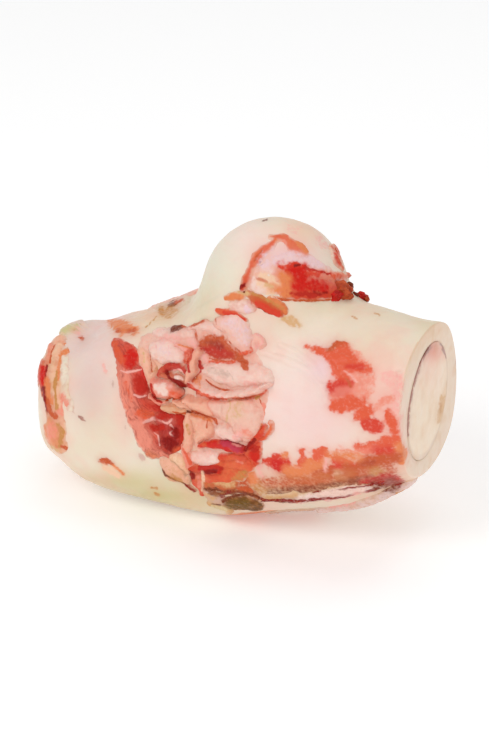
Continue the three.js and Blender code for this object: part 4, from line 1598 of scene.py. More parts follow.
BONE_STAINS = marks(
    (Tone.SALMON, 0.62, 338, 352, 8, 350, 362, 14, 358, 376, 16, 360, 388, 13),
    (Tone.CORAL, 1, 308, 347, 1.6, 318, 349.5, 3, 328, 354, 4.5, 336, 360, 7, 341, 368, 8, 343, 380, 6),
    (Tone.RUST, 1, 329, 349, 1.5, 335, 345.5, 3, 341, 345, 3.5, 345, 348, 2),
    (Tone.CORAL, 1, 342, 352, 6, 348, 360, 7, 354, 366, 5.5, 364, 368, 3.5, 370, 370, 1.6),
    (Tone.VERMILION, 1, 346, 367, 1.6, 354, 367, 2.5, 362, 366.5, 2),
    (Tone.VERMILION, 1, 332, 386, 4, 338, 388, 8, 346, 388, 7, 351, 384, 3),
    (Tone.SCARLET, 1, 335, 391, 5, 341, 391, 6, 346, 391, 4),
    (Tone.SALMON, 0.65, 340, 397, 9, 352, 396, 9, 362, 392, 8),
    (Tone.CORAL, 1, 336, 407, 5, 344, 406, 6.5, 352, 403, 6.5, 362, 403.5, 4),
    (Tone.CORAL, 1, 357, 417, 3, 364, 413, 6, 369, 411, 5, 366, 419, 5),
    (Tone.VERMILION, 1, 367, 424, 5, 374, 425, 7, 379, 427, 4),
    (Tone.BLUSH, 0.6, 389, 378, 7, 397, 377, 5, 396, 395, 6, 394, 415, 7, 394, 440, 7),
    (Tone.SALMON, 0.65, 377, 407, 4, 384, 402, 4, 391, 398, 3),
    (Tone.CORAL, 1, 388, 413, 3, 391, 422, 5, 393, 431, 3.5),
    (Tone.CORAL, 1, 358, 447, 3, 368, 449, 4.5, 378, 447, 5, 388, 443, 7, 396, 441, 4),
    (Tone.SALMON, 0.6, 340, 452, 4, 362, 455, 6, 376, 453, 6),
    (Tone.VERMILION, 1, 378, 451, 4, 388, 452, 6, 395, 455, 5),
    (Tone.ORANGE, 0.85, 399, 447, 4, 403, 453, 4.5, 401, 461, 3.5),
    (Tone.RUST, 1, 358, 465, 4, 366, 464, 5.5, 372, 462, 6, 381, 460, 4, 390, 459, 3.5, 397, 457, 3),
    (Tone.OXBLOOD, 0.6, 362, 464, 1.5, 369, 464, 2.5, 374, 461, 1.5),
    (Tone.VERMILION, 1, 263, 461, 3, 272, 462, 5.5, 280, 461, 6, 286, 466, 5),
    (Tone.SCARLET, 1, 275, 464, 4, 282, 467, 4.5),
    (Tone.ORANGE, 0.75, 284, 456, 3, 288, 453, 1.6),
    (Tone.ORANGE, 1, 289, 471, 5, 294, 473, 6.5, 300, 473, 4),
    (Tone.CORAL, 1, 302, 452, 1.8, 303, 458, 3, 303, 464, 4.5),
    (Tone.ORANGE, 1, 306, 470, 5, 313, 465, 7, 319, 463, 6),
    (Tone.CORAL, 1, 316, 457, 4, 321, 452, 4.5, 326, 455, 3),
    (Tone.RUST, 1, 316, 476, 5, 322, 475, 5, 330, 472, 5, 337, 468, 4.5),
    (Tone.VERMILION, 1, 335, 460, 4, 341, 464, 7, 347, 466, 7, 352, 472, 5),
    (Tone.RUST, 1, 346, 466, 3, 350, 471, 4),
    (Tone.ORANGE, 0.6, 328, 456, 4, 345, 457, 5, 358, 458, 4),
    (Tone.ORANGE, 0.65, 298, 481, 6, 310, 482, 7, 322, 482, 6),
    (Tone.ORANGE, 0.75, 352, 477, 5, 350, 484, 4),
    (Tone.STRAW, 0.9, 337, 477, 5, 345, 478, 5),
    (Tone.RUST, 0.6, 350, 472, 6, 368, 470, 7, 390, 468, 6),
    (Tone.RUST, 0.5, 356, 475, 5, 370, 474, 5, 386, 472, 5),
    (Tone.BLUSH, 0.8, 326, 460, 2, 325.5, 466, 1.4, 325, 471, 0.8),
    (Tone.OCHRE, 0.55, 258, 486, 9, 285, 488, 10, 320, 486, 9, 345, 482, 9, 378, 476, 8),
    (Tone.RUST, 0.58, 264, 481, 5, 300, 484, 7, 330, 481, 7, 362, 475, 7),
    (Tone.BROWN, 0.52, 270, 492, 3, 305, 490, 4, 325, 487.5, 4, 350, 483, 4, 372, 479, 4),
    (Tone.RED, 0.9, 364, 482, 2, 378, 481, 4.5, 388, 481, 6, 398, 482, 4.5),
    (Tone.BROWN, 0.62, 372, 485, 3, 382, 485, 5, 392, 484, 5, 399, 485, 3),
    (Tone.ORANGE, 1, 241, 468, 7, 248, 473, 6, 253, 479, 4),
    (Tone.RUST, 0.8, 240, 478, 5, 243, 486, 5),
    (Tone.BLUSH, 0.6, 258, 466, 4, 261, 474, 3),
    (Tone.BLUSH, 0.7, 345, 371, 0.8, 349, 375, 1),
    (Tone.BLUSH, 0.8, 350, 374, 0.7, 353, 378, 0.8, 357, 382, 0.9),
    (Tone.RUST, 1, 346, 379, 0.8, 349, 382, 1.1, 350, 386, 1.1),
    (Tone.ORANGE, 1, 111, 322, 3, 118, 325, 5, 126, 328, 5, 135, 330, 2.5),
    (Tone.RUST, 0.9, 118, 331, 1.6, 126, 331, 2.6, 134, 330.5, 1.6),
    (Tone.ORANGE, 0.7, 124, 331, 3, 121, 336, 2),
    (Tone.BROWN, 1, 169, 306, 1.8, 174, 303.5, 2.6, 178, 302, 2.2),
    (Tone.RUST, 1, 177, 302, 2.2, 182, 299.5, 2),
    (Tone.OCHRE, 0.8, 161, 308, 2, 161, 313, 2.2),
    (Tone.OCHRE, 0.6, 165, 312, 5, 172, 311, 5, 168, 317, 3),
    (Tone.OCHRE, 0.7, 146, 327, 0.8, 151, 322, 1, 156, 316, 0.8),
    (Tone.OLIVE_TINT, 1, 63, 332, 2.6, 72, 328, 3.4, 80, 324, 2),
    (Tone.RUST, 1, 80, 333, 1.4, 81.5, 338, 2.2),
    (Tone.BLUSH, 0.7, 79, 326, 1.6, 80, 334, 2.4),
    (Tone.RUST, 1, 102, 459.5, 1.8, 107, 462, 3, 112, 464.5, 1.4),
    (Tone.ORANGE, 1, 113, 466, 1.3, 118, 469.5, 1.8, 123, 474, 1.8),
    (Tone.PEACH, 1, 104, 467, 2, 112, 471, 3, 119, 476, 2),
    (Tone.BLUSH, 0.7, 104, 365, 2, 105, 372, 2),
    (Tone.PLUM, 0.5, 113, 382, 1.4, 114, 386, 1.4),
    (Tone.PLUM, 1, 79, 416.5, 0.8, 82, 419, 1, 85, 421, 0.7),
    (Tone.CLAY, 1, 69, 398, 1, 71, 406, 1, 74, 413, 0.8),
    (Tone.PLUM, 0.45, 124, 423, 0.8, 127, 430, 0.8),
    (Tone.CLAY, 1, 140, 455, 1.6, 143, 459, 1.8),
    (Tone.OCHRE, 0.7, 151, 488, 1.2, 157, 488.5, 1.4),
    (Tone.OCHRE, 0.7, 155, 493, 1.4, 160, 495, 1.4),
    (Tone.BROWN, 0.8, 262, 220.5, 0.6, 265, 220, 0.9, 267, 219, 0.6),
    (Tone.BLUSH, 0.4, 290, 229, 4, 299, 228, 4),
    (Tone.BLUSH, 0.45, 318, 236, 4, 325, 246, 5),
    (Tone.OCHRE, 0.5, 352, 316, 1.2, 356, 318, 1.2),
    (Tone.OCHRE, 0.6, 374, 313, 1, 380, 315, 1.4),
    (Tone.TAN, 0.75, 284, 319, 4, 292, 321, 4, 299, 325, 2.4),
    (Tone.PLUM, 1, 457, 360, 0.8, 457.5, 368, 1, 457, 374, 0.7),
    (Tone.PLUM, 0.75, 412, 450, 1.6, 416, 453, 2.2, 417, 457, 1.4),
    (Tone.BLUSH, 0.35, 412, 415, 6, 411, 436, 6, 414, 452, 5),
) + marks(
    (Tone.VERMILION, 0.9, -44, -20, 4, -30, -26, 6, -14, -24, 4),
    (Tone.ORANGE, 0.8, -4, 10, 5, 16, 14, 7, 34, 8, 5),
    view=View.UNDER,
) + marks(
    (Tone.ORANGE, 0.8, -64, -14, 3, -58, -20, 5, -46, -22, 3),
    view=View.BACK,
)
MARROW_ZONES = (
    Zone(Tone.SALMON, (432, 352), (12, 11), 0.7),
    Zone(Tone.RUST, (434, 350), (9, 7), 0.3),
    Zone(Tone.BLUSH, (430, 372), (12, 20), 0.25),
)
MARROW_STAINS_AND_GAP_SHADE = marks(
    # Painted shade of the gap between plug and hole, along the left and top border.
    (Tone.PLUM, 1, 430, 346, 1.5, 425, 352, 2.4, 420, 361, 2.2, 417, 370, 1.4, 413, 384, 1.1, 410.5, 400,
     1, 408, 420, 1, 408, 436, 0.8),
    (Tone.BROWN, 1, 428, 348, 0.9, 423, 355, 1.2, 419, 363, 0.9),
    (Tone.PLUM, 1, 440, 344, 1, 444, 349, 1.4, 447, 357, 1),
    # Stains on the plug's face.
    (Tone.TAN, 0.8, 442, 398, 2.4, 441, 409, 3.4, 439, 420, 2.4),
    (Tone.OCHRE, 0.7, 440.5, 404, 1.2, 440.5, 412, 1.4),
)
MUSCLE_ROLLS = (
    Stroke(Tone.SALMON, (120, 348, 8, 130, 372, 13, 140, 400, 15, 156, 430, 22, 162, 446, 14), 1,
           square=3),
    Stroke(Tone.VERMILION, (116, 343, 5, 123, 350, 10, 129, 358, 12, 131, 365, 9), 1.6, square=2.4),
    Stroke(Tone.SCARLET, (139, 374, 9, 140, 383, 9.5, 142, 393, 8.5), 2, square=3),
    Stroke(Tone.VERMILION, (142, 399, 7, 148, 406, 10, 160, 408, 8, 168, 409, 5), 2),
    Stroke(Tone.CRIMSON, (163, 418, 9, 172, 424, 15, 172, 434, 16, 171, 446, 9), 2.6, square=2.6),
    Stroke(Tone.SALMON, (122, 376, 5, 126, 392, 6, 131, 406, 7, 138, 422, 9, 146, 438, 10, 153, 451, 8),
           0.9),
    Stroke(Tone.VERMILION, (150, 426, 7, 157, 433, 9, 160, 443, 8), 1.6),
    Stroke(Tone.ORANGE, (149, 453, 5, 156, 455, 4), 1),
)
MUSCLE_MARKS = marks(
    (Tone.SCARLET, 0.8, 124, 360, 4, 130, 363, 6, 132, 356, 5),
    (Tone.CORAL, 0.8, 115, 343, 3, 117, 352, 3, 121, 362, 3),
    (Tone.BLUSH, 1, 121, 371, 0.8, 127, 372.5, 1.1, 134, 371, 1, 141, 369, 0.8),
    (Tone.RED, 0.7, 138, 380, 5, 143, 388, 6),
    (Tone.BLUSH, 0.8, 134, 394.5, 0.8, 140, 397, 1, 147, 396, 0.8),
    (Tone.CORAL, 0.5, 126, 382, 1.6, 128, 390, 1.6, 132, 400, 1.6),
    (Tone.RED, 0.8, 154, 407, 3.5, 164, 409, 4.5, 170, 412, 3),
    (Tone.CORAL, 0.7, 138, 412, 3, 145, 416, 4, 152, 415, 3),
    (Tone.BLUSH, 1, 143, 423, 0.9, 150, 420, 1.6, 157, 419, 1.6, 163, 422, 1.2, 168, 423, 1.2, 172, 419,
     0.9),
    (Tone.BLUSH, 1, 171, 425, 1.1, 173.5, 429, 1.2, 170, 433, 1, 175, 437, 0.9),
    (Tone.BLUSH, 0.7, 152, 431, 0.7, 158, 436, 1, 160, 445, 0.8),
    (Tone.RED, 1, 159, 418, 2.6, 165, 416.5, 3.4, 171, 417, 2),
    (Tone.RED, 0.9, 154, 428, 3.6, 161, 427, 4),
    (Tone.OXBLOOD, 1, 174, 430, 3.6, 178, 433, 3.4, 175, 436, 2.4),
    (Tone.OXBLOOD, 0.85, 164, 440, 3.6, 171, 444, 5.5, 174, 450, 3.4),
    (Tone.RED, 0.8, 180, 417, 4, 185, 426, 5, 184, 438, 4),
    (Tone.SALMON, 0.8, 138, 424, 4, 145, 440, 6),
    (Tone.CORAL, 0.8, 176, 452, 3, 183, 448, 3, 187, 440, 2.4),
)
FAT_ROLLS = (
    Stroke(Tone.FAT, (152, 346, 14, 185, 345, 20, 222, 358, 30, 232, 392, 36, 226, 424, 32, 212, 440, 18),
           0.9, square=4),
    Stroke(Tone.FAT_PEACH, (142, 352, 5, 147, 362, 7.5, 151, 374, 7, 153, 384, 5), 2),
    Stroke(Tone.FAT_AND_HIGHLIGHT_WHITE, (156, 350, 8, 167, 352, 13, 178, 356, 9), 3, square=2.4),
    Stroke(Tone.BLUSH, (178, 345, 2.4, 186, 349, 3, 191, 354, 2.4, 189, 361, 2), 3.2),
    Stroke(Tone.FAT_AND_HIGHLIGHT_WHITE, (158, 334, 6, 178, 334, 8, 194, 334, 7), 1.7),
    Stroke(Tone.FAT_AND_HIGHLIGHT_WHITE, (192, 328, 4, 204, 326, 6, 214, 328, 6, 218, 334, 5), 2.4),
    Stroke(Tone.FAT_PEACH, (202, 348, 4, 197, 357, 4.6, 193.5, 368, 5, 190, 380, 4.4), 4.4, square=3),
    Stroke(Tone.FAT, (222, 324, 8, 235, 326, 13, 241, 338, 13, 247, 349, 8), 3.2, square=2.4),
    Stroke(Tone.FAT, (253, 347, 5, 258, 338, 5, 262, 344, 5), 1.9),
    Stroke(Tone.FAT_AND_HIGHLIGHT_WHITE, (208, 368, 6, 222, 372, 12, 240, 374, 14, 258, 376, 11, 269, 379, 5), 4.2,
           square=2.4),
    Stroke(Tone.FAT_AND_HIGHLIGHT_WHITE, (193, 382, 4, 202, 387, 4.6, 214, 391.5, 5, 229, 393, 4.8, 244, 393, 4.6, 258,
           389.5, 4.4, 270, 384, 3), 5.6, lean=0.3, square=2.4),
    Stroke(Tone.FAT_PEACH, (188, 400, 5, 198, 404, 8, 212, 407, 10), 4.6),
    Stroke(Tone.FAT, (214, 405, 8, 228, 409, 13, 240, 412, 16, 248, 418, 16, 247, 430, 13), 4.7,
           square=2.5),
    Stroke(Tone.FAT_AND_HIGHLIGHT_WHITE, (222, 430, 8, 231, 433, 8, 242, 436, 6), 4.3),
    Stroke(Tone.FAT_PEACH, (195, 417, 5, 203, 424, 10, 206, 431, 10, 200, 438, 6), 4.2),
    Stroke(Tone.FAT_PEACH, (189, 408, 4, 190, 420, 5.5, 189, 436, 6, 187, 450, 5), 2.8),
    Stroke(Tone.FAT_AND_HIGHLIGHT_WHITE, (195, 457, 6, 206, 458, 9, 217, 457, 6), 2.4),
    Stroke(Tone.SALMON, (184, 446, 4, 187, 455, 5, 190, 464, 5), 2.4),
)
FAT_MARKS = marks(
    (Tone.ORANGE, 0.8, 178, 344.5, 0.8, 185, 347, 1, 192, 349.5, 1),
    (Tone.RED, 0.85, 193, 350, 0.8, 191, 357, 1.1, 188, 363, 1.3, 188.5, 371, 1.1),
    (Tone.CORAL, 0.7, 188, 352, 3, 187, 360, 3),
    (Tone.RED, 1, 199.5, 361.5, 0.9, 200.5, 367, 1.8, 202.5, 368, 1.2),
    (Tone.RED, 0.8, 201, 370, 0.9, 197, 376, 1, 192.5, 382, 1),
    (Tone.ORANGE, 0.6, 200, 376, 2, 197, 382, 2.6, 200, 387, 2),
    (Tone.BLUSH, 0.7, 204, 356, 3, 208, 362, 2.4),
    (Tone.RUST, 1, 206, 380, 0.7, 211, 384.5, 0.9, 217, 387.5, 1, 223, 390, 0.9, 230, 390, 0.5),
    (Tone.TAN, 0.5, 216, 382, 0.6, 222, 384.5, 0.7),
    (Tone.CLAY, 0.6, 208, 369, 2, 216, 372, 3, 226, 375, 3),
    (Tone.CLAY, 0.5, 227, 371, 0.7, 231, 376, 0.8, 233, 380, 0.6),
    (Tone.BLUSH, 0.6, 246, 383, 2, 255, 384, 2),
    # Painted shadow under the lip, in the orange-red of the crease.
    (Tone.CORAL, 0.85, 189, 386, 2.4, 196, 391, 1.8, 205, 395.5, 1.4, 213, 397.5, 1.1, 228, 399, 0.9, 246,
     398.5, 1.1, 258, 396, 1.6, 266, 391, 1.6),
    (Tone.RED, 1, 188, 385, 1.6, 190, 391, 2, 196, 391, 1),
    (Tone.RUST, 1, 244, 397.2, 0.7, 249, 397.5, 1, 254, 396, 0.8),
    (Tone.OCHRE, 1, 256, 398, 1.4, 259, 397, 1.5),
    (Tone.RUST, 0.8, 259, 399, 0.6, 262, 405, 0.6),
    (Tone.SALMON, 1, 263, 404, 1.4, 266, 412, 1.8, 266, 422, 1.8, 262, 432, 1.6),
    (Tone.ORANGE, 0.8, 262, 424, 1.2, 258, 434, 1.6, 252, 440, 1.4),
    (Tone.TAN, 0.6, 230, 400, 1.4, 229, 410, 1.2, 226, 422, 1.4),
    (Tone.TAN, 0.45, 238, 404, 4, 236, 414, 5),
    (Tone.BROWN, 0.9, 187, 411, 1, 191, 412.5, 1),
    (Tone.RUST, 1, 192, 411, 0.7, 200, 413.5, 0.9, 208, 416.5, 1, 215, 419.5, 1.4, 217.5, 424, 1),
    (Tone.ORANGE, 0.7, 192, 415, 1.6, 203, 418, 1.8, 212, 421, 1.6),
    (Tone.RUST, 0.7, 208, 421, 0.6, 206.5, 428, 0.8),
    (Tone.BLUSH, 1, 236, 436, 2.4, 240, 434, 2.4),
    (Tone.SALMON, 0.6, 244, 432, 3, 250, 436, 4),
    (Tone.OCHRE, 0.5, 188, 426, 2, 189, 434, 2),
    (Tone.SALMON, 0.6, 168.5, 346, 0.9, 169, 353, 0.9),
    (Tone.SALMON, 0.6, 156, 344, 1, 156.5, 348, 0.9),
    (Tone.BLUSH, 0.55, 162, 340, 4, 176, 338, 4),
    (Tone.RUST, 0.8, 150.5, 352, 0.6, 151, 362, 0.6, 152, 372, 0.6),
    (Tone.TAN, 0.7, 143, 352, 0.8, 144, 362, 0.8),
    (Tone.OCHRE, 0.6, 155, 371, 2, 158, 367, 2),
    (Tone.BROWN, 1, 172, 329.5, 1.3, 177, 327.5, 2.4, 183, 324.5, 1.8),
    (Tone.RUST, 1, 185, 324.5, 1.8, 191, 323, 2.8, 196, 322.5, 3.4, 202, 319.8, 2.2),
    (Tone.RUST, 1, 206, 318.5, 0.7, 212, 319.5, 1),
    (Tone.RUST, 0.6, 214.5, 313, 0.6, 215.5, 319, 0.7, 217, 325, 0.6),
    (Tone.RUST, 0.7, 196, 331, 0.9, 196.5, 338, 1.2, 197, 343, 0.9),
    (Tone.BLUSH, 0.7, 190, 340, 3, 196, 345, 3),
    (Tone.RUST, 1, 204, 344, 4, 210, 344.5, 8, 218, 348, 10, 227, 352, 7, 235, 355, 4, 240, 356, 1.6),
    (Tone.RED, 0.9, 204, 349, 3, 212, 350, 5, 220, 352, 5.5, 230, 355, 3),
    (Tone.OXBLOOD, 0.55, 206, 343, 1.8, 213, 343, 3, 221, 347, 2.4),
    (Tone.RUST, 1, 210, 358, 0.7, 220, 361, 0.8, 232, 361, 0.7),
    (Tone.CORAL, 0.7, 210, 361, 1.4, 220, 362.5, 1.6, 235, 362, 1.6),
    (Tone.CORAL, 0.8, 241, 354, 2, 250, 352, 1.6),
    (Tone.RUST, 1, 241, 359, 2.6, 244.5, 364, 3, 246, 368, 1.8),
    (Tone.CORAL, 0.6, 251, 348, 1.4, 252, 351, 1.4),
    (Tone.BLUSH, 1, 256, 334, 1.2, 261, 335, 1.6, 262, 343, 1.6, 257, 347, 1.4),
    (Tone.CORAL, 0.8, 183, 449, 1.2, 187, 457, 1.6, 190, 464, 1.8),
    # Painted highlights: a pale sheen on the mound and on the globe.
    (Tone.LAVENDER, 0.5, 226, 322, 5, 238, 327, 8, 245, 340, 6),
    (Tone.LAVENDER, 0.4, 160, 348, 4, 168, 352, 5),
)
FAT_HOLLOWS = (
    shape(1.6, 203, 345, 3.4, 210, 345.5, 8, 218, 349, 10, 227, 353.5, 6, 235, 356, 3.4, square=3),
    shape(1.2, 200, 361, 1.4, 201, 367, 2.4, 197, 376, 2, 191, 384, 2),
    shape(1, 192, 350, 1.4, 190, 358, 2, 188, 370, 2),
    shape(1, 190, 389, 2, 205, 396, 1.8, 228, 399.5, 1.6, 250, 398.5, 1.6, 262, 394, 1.6),
    shape(0.5, 206, 381, 1, 214, 386.5, 1.4, 224, 390, 1.2),
    shape(0.6, 190, 411, 1.2, 202, 414, 1.4, 215, 419, 1.6, 218, 426, 1.2),
    shape(0.8, 150, 352, 1, 151, 362, 1.2, 152, 373, 1),
    shape(0.6, 196, 331, 1, 196.5, 338, 1.4, 197, 344, 1),
    shape(0.5, 263, 402, 1.2, 266, 413, 1.6, 264, 428, 1.4),
    shape(0.4, 214, 366, 1, 224, 369, 1.4, 230, 375, 1.2),
    shape(0.4, 228, 404, 1, 227, 414, 1.4, 225, 426, 1.2),
)
KNOB_ROLLS = (
    Stroke(Tone.RED, (161, 374, 3.4, 166, 368.5, 4.4, 175, 366.5, 4.8, 185, 367.5, 4.6, 189, 373, 3.6),
           4),
    Stroke(Tone.RUST, (166, 374, 5, 176, 377, 6.5, 184, 382, 5), 3.8),
    Stroke(Tone.SALMON, (155, 381, 4.5, 159, 387, 9, 168, 389, 10, 177, 392, 7), 5.4, square=2.4),
    Stroke(Tone.SALMON, (152, 396, 3, 158, 401, 3.4, 166, 402, 3), 3.4),
    Stroke(Tone.FAT_TAN, (166, 407, 4, 175, 408, 6, 186, 411, 4.5), 4.2),
    Stroke(Tone.FAT_PEACH, (176, 401, 3.4, 183, 403, 4, 189, 407, 3), 4.2),
)
KNOB_MARKS = marks(
    (Tone.BLUSH, 0.5, 161, 383, 4, 170, 384, 5),
    # Painted highlight on the pale knob.
    (Tone.FAT_AND_HIGHLIGHT_WHITE, 1, 158, 388, 3.6, 163, 392, 4, 163, 386, 3),
    (Tone.OXBLOOD, 1, 178, 382, 1.6, 183, 386, 2.8, 189, 390, 3, 189, 386, 2),
    (Tone.OXBLOOD, 1, 166, 372, 1.6, 170, 378, 2, 177, 382, 1.6),
    # Painted highlights on the glossy dark arch.
    (Tone.FAT_AND_HIGHLIGHT_WHITE, 1, 175, 376, 1, 179, 377.5, 1.4, 183, 380, 1),
    (Tone.BLUSH, 0.8, 173, 371, 0.8, 180, 370, 1, 184, 375, 0.8),
    (Tone.RUST, 1, 166, 401, 0.8, 170, 398.5, 1, 176, 399, 1, 181, 396.5, 0.9),
    (Tone.RED, 1, 151, 384, 1, 152.5, 392, 1.2, 156, 399, 1.2, 161, 402, 1.2),
    (Tone.CORAL, 0.6, 172, 393, 3, 179, 396, 3),
    (Tone.RUST, 1, 173, 412, 0.8, 180, 413.5, 0.9, 187, 412.5, 0.9),
)
MEAT_ROLLS = (
    Stroke(Tone.CORAL, (200, 476, 6, 214, 472, 11, 234, 466, 14, 250, 456, 11, 258, 444, 5), 1.4, square=4),
    Stroke(Tone.SCARLET, (202, 445, 3, 212, 444, 4.6, 224, 444, 6, 235, 446.5, 5.6, 244, 450, 3.4), 5,
           square=2.4),
    Stroke(Tone.VERMILION, (222, 456, 4, 234, 456, 5, 246, 456, 6), 2.6),
    Stroke(Tone.SCARLET, (248, 451, 6, 254, 454, 8, 257, 460, 5), 3.4),
    Stroke(Tone.VERMILION, (248, 448, 3.4, 255, 440, 4.6, 262, 432, 4.4, 265, 425, 2.6), 2.8),
    Stroke(Tone.CORAL, (262, 438, 2.6, 268, 433, 3, 272, 426, 2.6, 271, 421, 1.6), 2.2),
    Stroke(Tone.SCARLET, (192, 467, 4, 204, 469, 5, 220, 470, 4.4), 3),
    Stroke(Tone.CORAL, (206, 477, 5, 222, 477, 7, 240, 474, 8), 1.9),
    Stroke(Tone.CORAL, (224, 464, 5, 240, 464, 6, 250, 467, 5), 2.2),
    Stroke(Tone.VERMILION, (193, 473, 3.4, 198, 481, 4.6, 203, 491, 4), 2.4),
    Stroke(Tone.OXBLOOD, (186, 483, 1.8, 190, 487, 2.8, 194, 491, 1.8), 1.4),
)
MEAT_MARKS = marks(
    (Tone.MAGENTA, 1, 224, 442, 3, 233, 445, 4.4, 243, 449.5, 2.6),
    (Tone.OXBLOOD, 1, 222, 439, 0.7, 232, 440, 0.8, 240, 443.5, 0.9, 246, 448, 1),
    # Painted highlight on the shiny magenta bulge.
    (Tone.BLUSH, 0.8, 233, 443, 0.7, 240, 446, 0.8),
    (Tone.SALMON, 0.9, 197, 448, 1.6, 206, 450, 1.4, 216, 450.5, 1.2),
    (Tone.OXBLOOD, 1, 203, 471, 2, 210, 472, 2.4, 216, 469, 1.6),
    (Tone.RED, 1, 200, 468, 2, 212, 467, 2, 222, 468, 1.6),
    (Tone.OXBLOOD, 0.8, 190, 472, 1.8, 193, 477, 2.4),
    (Tone.SALMON, 0.7, 198, 478, 2, 200, 486, 2.4),
    (Tone.PEACH, 1, 202, 472, 0.9, 203.5, 480, 1.3, 202.5, 491, 1.2),
    (Tone.RED, 1, 243, 449, 2, 249, 445, 2, 254, 450, 4),
    (Tone.OXBLOOD, 0.8, 245, 450, 1.6, 248, 446, 1.4, 255, 440, 1.4),
    (Tone.OCHRE, 0.6, 236, 479, 4, 244, 474, 4),
    (Tone.SALMON, 0.7, 236, 461, 1.2, 243, 463, 1.4),
)
UNDER_ROLLS = (
    Stroke(Tone.FAT_PEACH, (164, 461, 5, 172, 468, 10, 181, 474, 9, 187, 480, 5), 3.2, square=2.4),
    Stroke(Tone.PEACH, (174, 457, 5, 182, 463, 6, 187, 472, 4), 2.4),
    Stroke(Tone.CLAY, (204, 488, 4, 212, 495, 6, 222, 501, 5), 2),
    Stroke(Tone.RUST, (208, 484, 5, 220, 485, 6, 234, 485, 6), 2.2),
    Stroke(Tone.BROWN, (212, 492, 3, 224, 492, 4, 238, 489, 4, 250, 491, 4, 259, 496, 3), 2.6),
    Stroke(Tone.TAN, (210, 503, 3, 220, 506, 4, 230, 509, 4), 1.4),
    Stroke(Tone.UMBER, (226, 503, 5, 238, 502, 8, 250, 503, 8, 260, 505, 5), 1.6, square=2.6),
)
UNDER_MARKS = marks(
    (Tone.BROWN, 1, 158.5, 466, 0.9, 164, 474, 1.1, 168, 476, 0.8, 175, 480, 1.1, 184, 484.5, 1.4, 190, 489,
     1.2, 196, 494, 1.1, 203, 498.5, 1),
    (Tone.OCHRE, 0.6, 172, 476, 2.4, 180, 481, 2.6),
    (Tone.TAN, 0.7, 214, 481, 3, 224, 483, 4, 232, 484, 3),
    (Tone.BROWN, 0.7, 205, 489, 1.2, 213, 489, 1.8, 222, 491, 1.6),
    (Tone.OXBLOOD, 0.6, 222, 496, 2.2, 228, 492.5, 2.4, 234, 490, 1.6),
    (Tone.RUST, 0.8, 240, 488, 2.4, 250, 490, 3),
    (Tone.BROWN, 0.8, 223, 501, 1.2, 230, 497.5, 1.4, 238, 494.5, 1.4, 248, 494, 1.2, 257, 496, 1.4, 262,
     501, 1.4),
    (Tone.TAN, 0.6, 206, 495, 2, 213, 499, 2.4),
    (Tone.BROWN, 0.8, 212, 504, 0.8, 220, 505, 0.9),
    (Tone.STRAW, 0.8, 212, 508, 3, 224, 511, 3),
    (Tone.OLIVE, 0.6, 232, 505, 4, 246, 504, 5),
)
FASCIA_ROLLS = (
    Stroke(Tone.CLAY, (14, -40, 2.6, 26, -35.5, 3.2, 38, -30.5, 3.6, 50, -25.5, 3.6), 1, square=2.6,
           view=View.LOW),
    Stroke(Tone.GRISTLE, (32, -31.5, 1.4, 43, -27.5, 3, 52, -23, 5, 59, -18, 5.6, 63.5, -13, 4.4), 3.8,
           view=View.LOW),
    Stroke(Tone.ROSE, (284, 499, 3, 300, 498.5, 4, 316, 496.5, 5, 332, 494, 5.6, 350, 491, 5.6, 368, 487, 5,
           382, 484, 4), 1.8),
    Stroke(Tone.TAN, (262, 498, 3.4, 280, 497.5, 4, 296, 495, 3.4), 1.2),
)
FASCIA_MARKS = marks(
    (Tone.OXBLOOD, 1, 255, 495, 1, 262, 498.5, 1.3, 267, 501, 1.5, 273, 500.5, 1.6, 281, 500, 1.3, 291,
     501, 1.2, 301, 501, 1.2, 311, 500, 1.2, 319, 499, 1.1, 330, 498, 1.1),
    (Tone.OXBLOOD, 1, 322, 499, 1, 335, 498, 1.1, 345, 496, 1.3, 356, 493.5, 1.3, 368, 491, 1.1, 380, 488,
     1.2),
    (Tone.OXBLOOD, 0.9, 313, 492, 0.8, 321, 491.2, 0.9),
    (Tone.OXBLOOD, 1, 330, 491, 0.6, 344, 489.5, 0.9, 352, 487.5, 0.8, 362, 486.5, 0.7, 372, 484, 0.8),
    (Tone.FAT_AND_HIGHLIGHT_WHITE, 1, 322, 494, 2, 334, 493, 2.6, 346, 492.5, 2, 362, 490, 2.4),
    (Tone.BLUSH, 0.9, 328, 504, 3, 340, 503.5, 3.4, 352, 501.5, 3),
    (Tone.BLUSH, 0.7, 356, 494, 2.4, 366, 496, 3),
    (Tone.RUST, 0.5, 300, 504, 1.8, 290, 506, 1.8),
    (Tone.UMBER, 0.55, 264, 507, 3, 276, 507, 3.4, 290, 506, 2.4),
    (Tone.OXBLOOD, 0.8, 366, 482, 2, 379, 482, 4, 388, 483, 5.5, 396, 483, 4.5, 403, 481, 2),
    (Tone.CRIMSON, 0.9, 380, 479.5, 2.4, 389, 479.5, 3.2, 395, 481, 2.8),
    (Tone.BROWN, 0.6, 376, 489, 3, 385, 489, 4, 394, 489, 3.6),
    (Tone.OXBLOOD, 0.7, 361, 482, 1.4, 366, 479, 1.4),
    (Tone.OCHRE, 0.6, 398, 494, 2, 404, 492, 2),
)
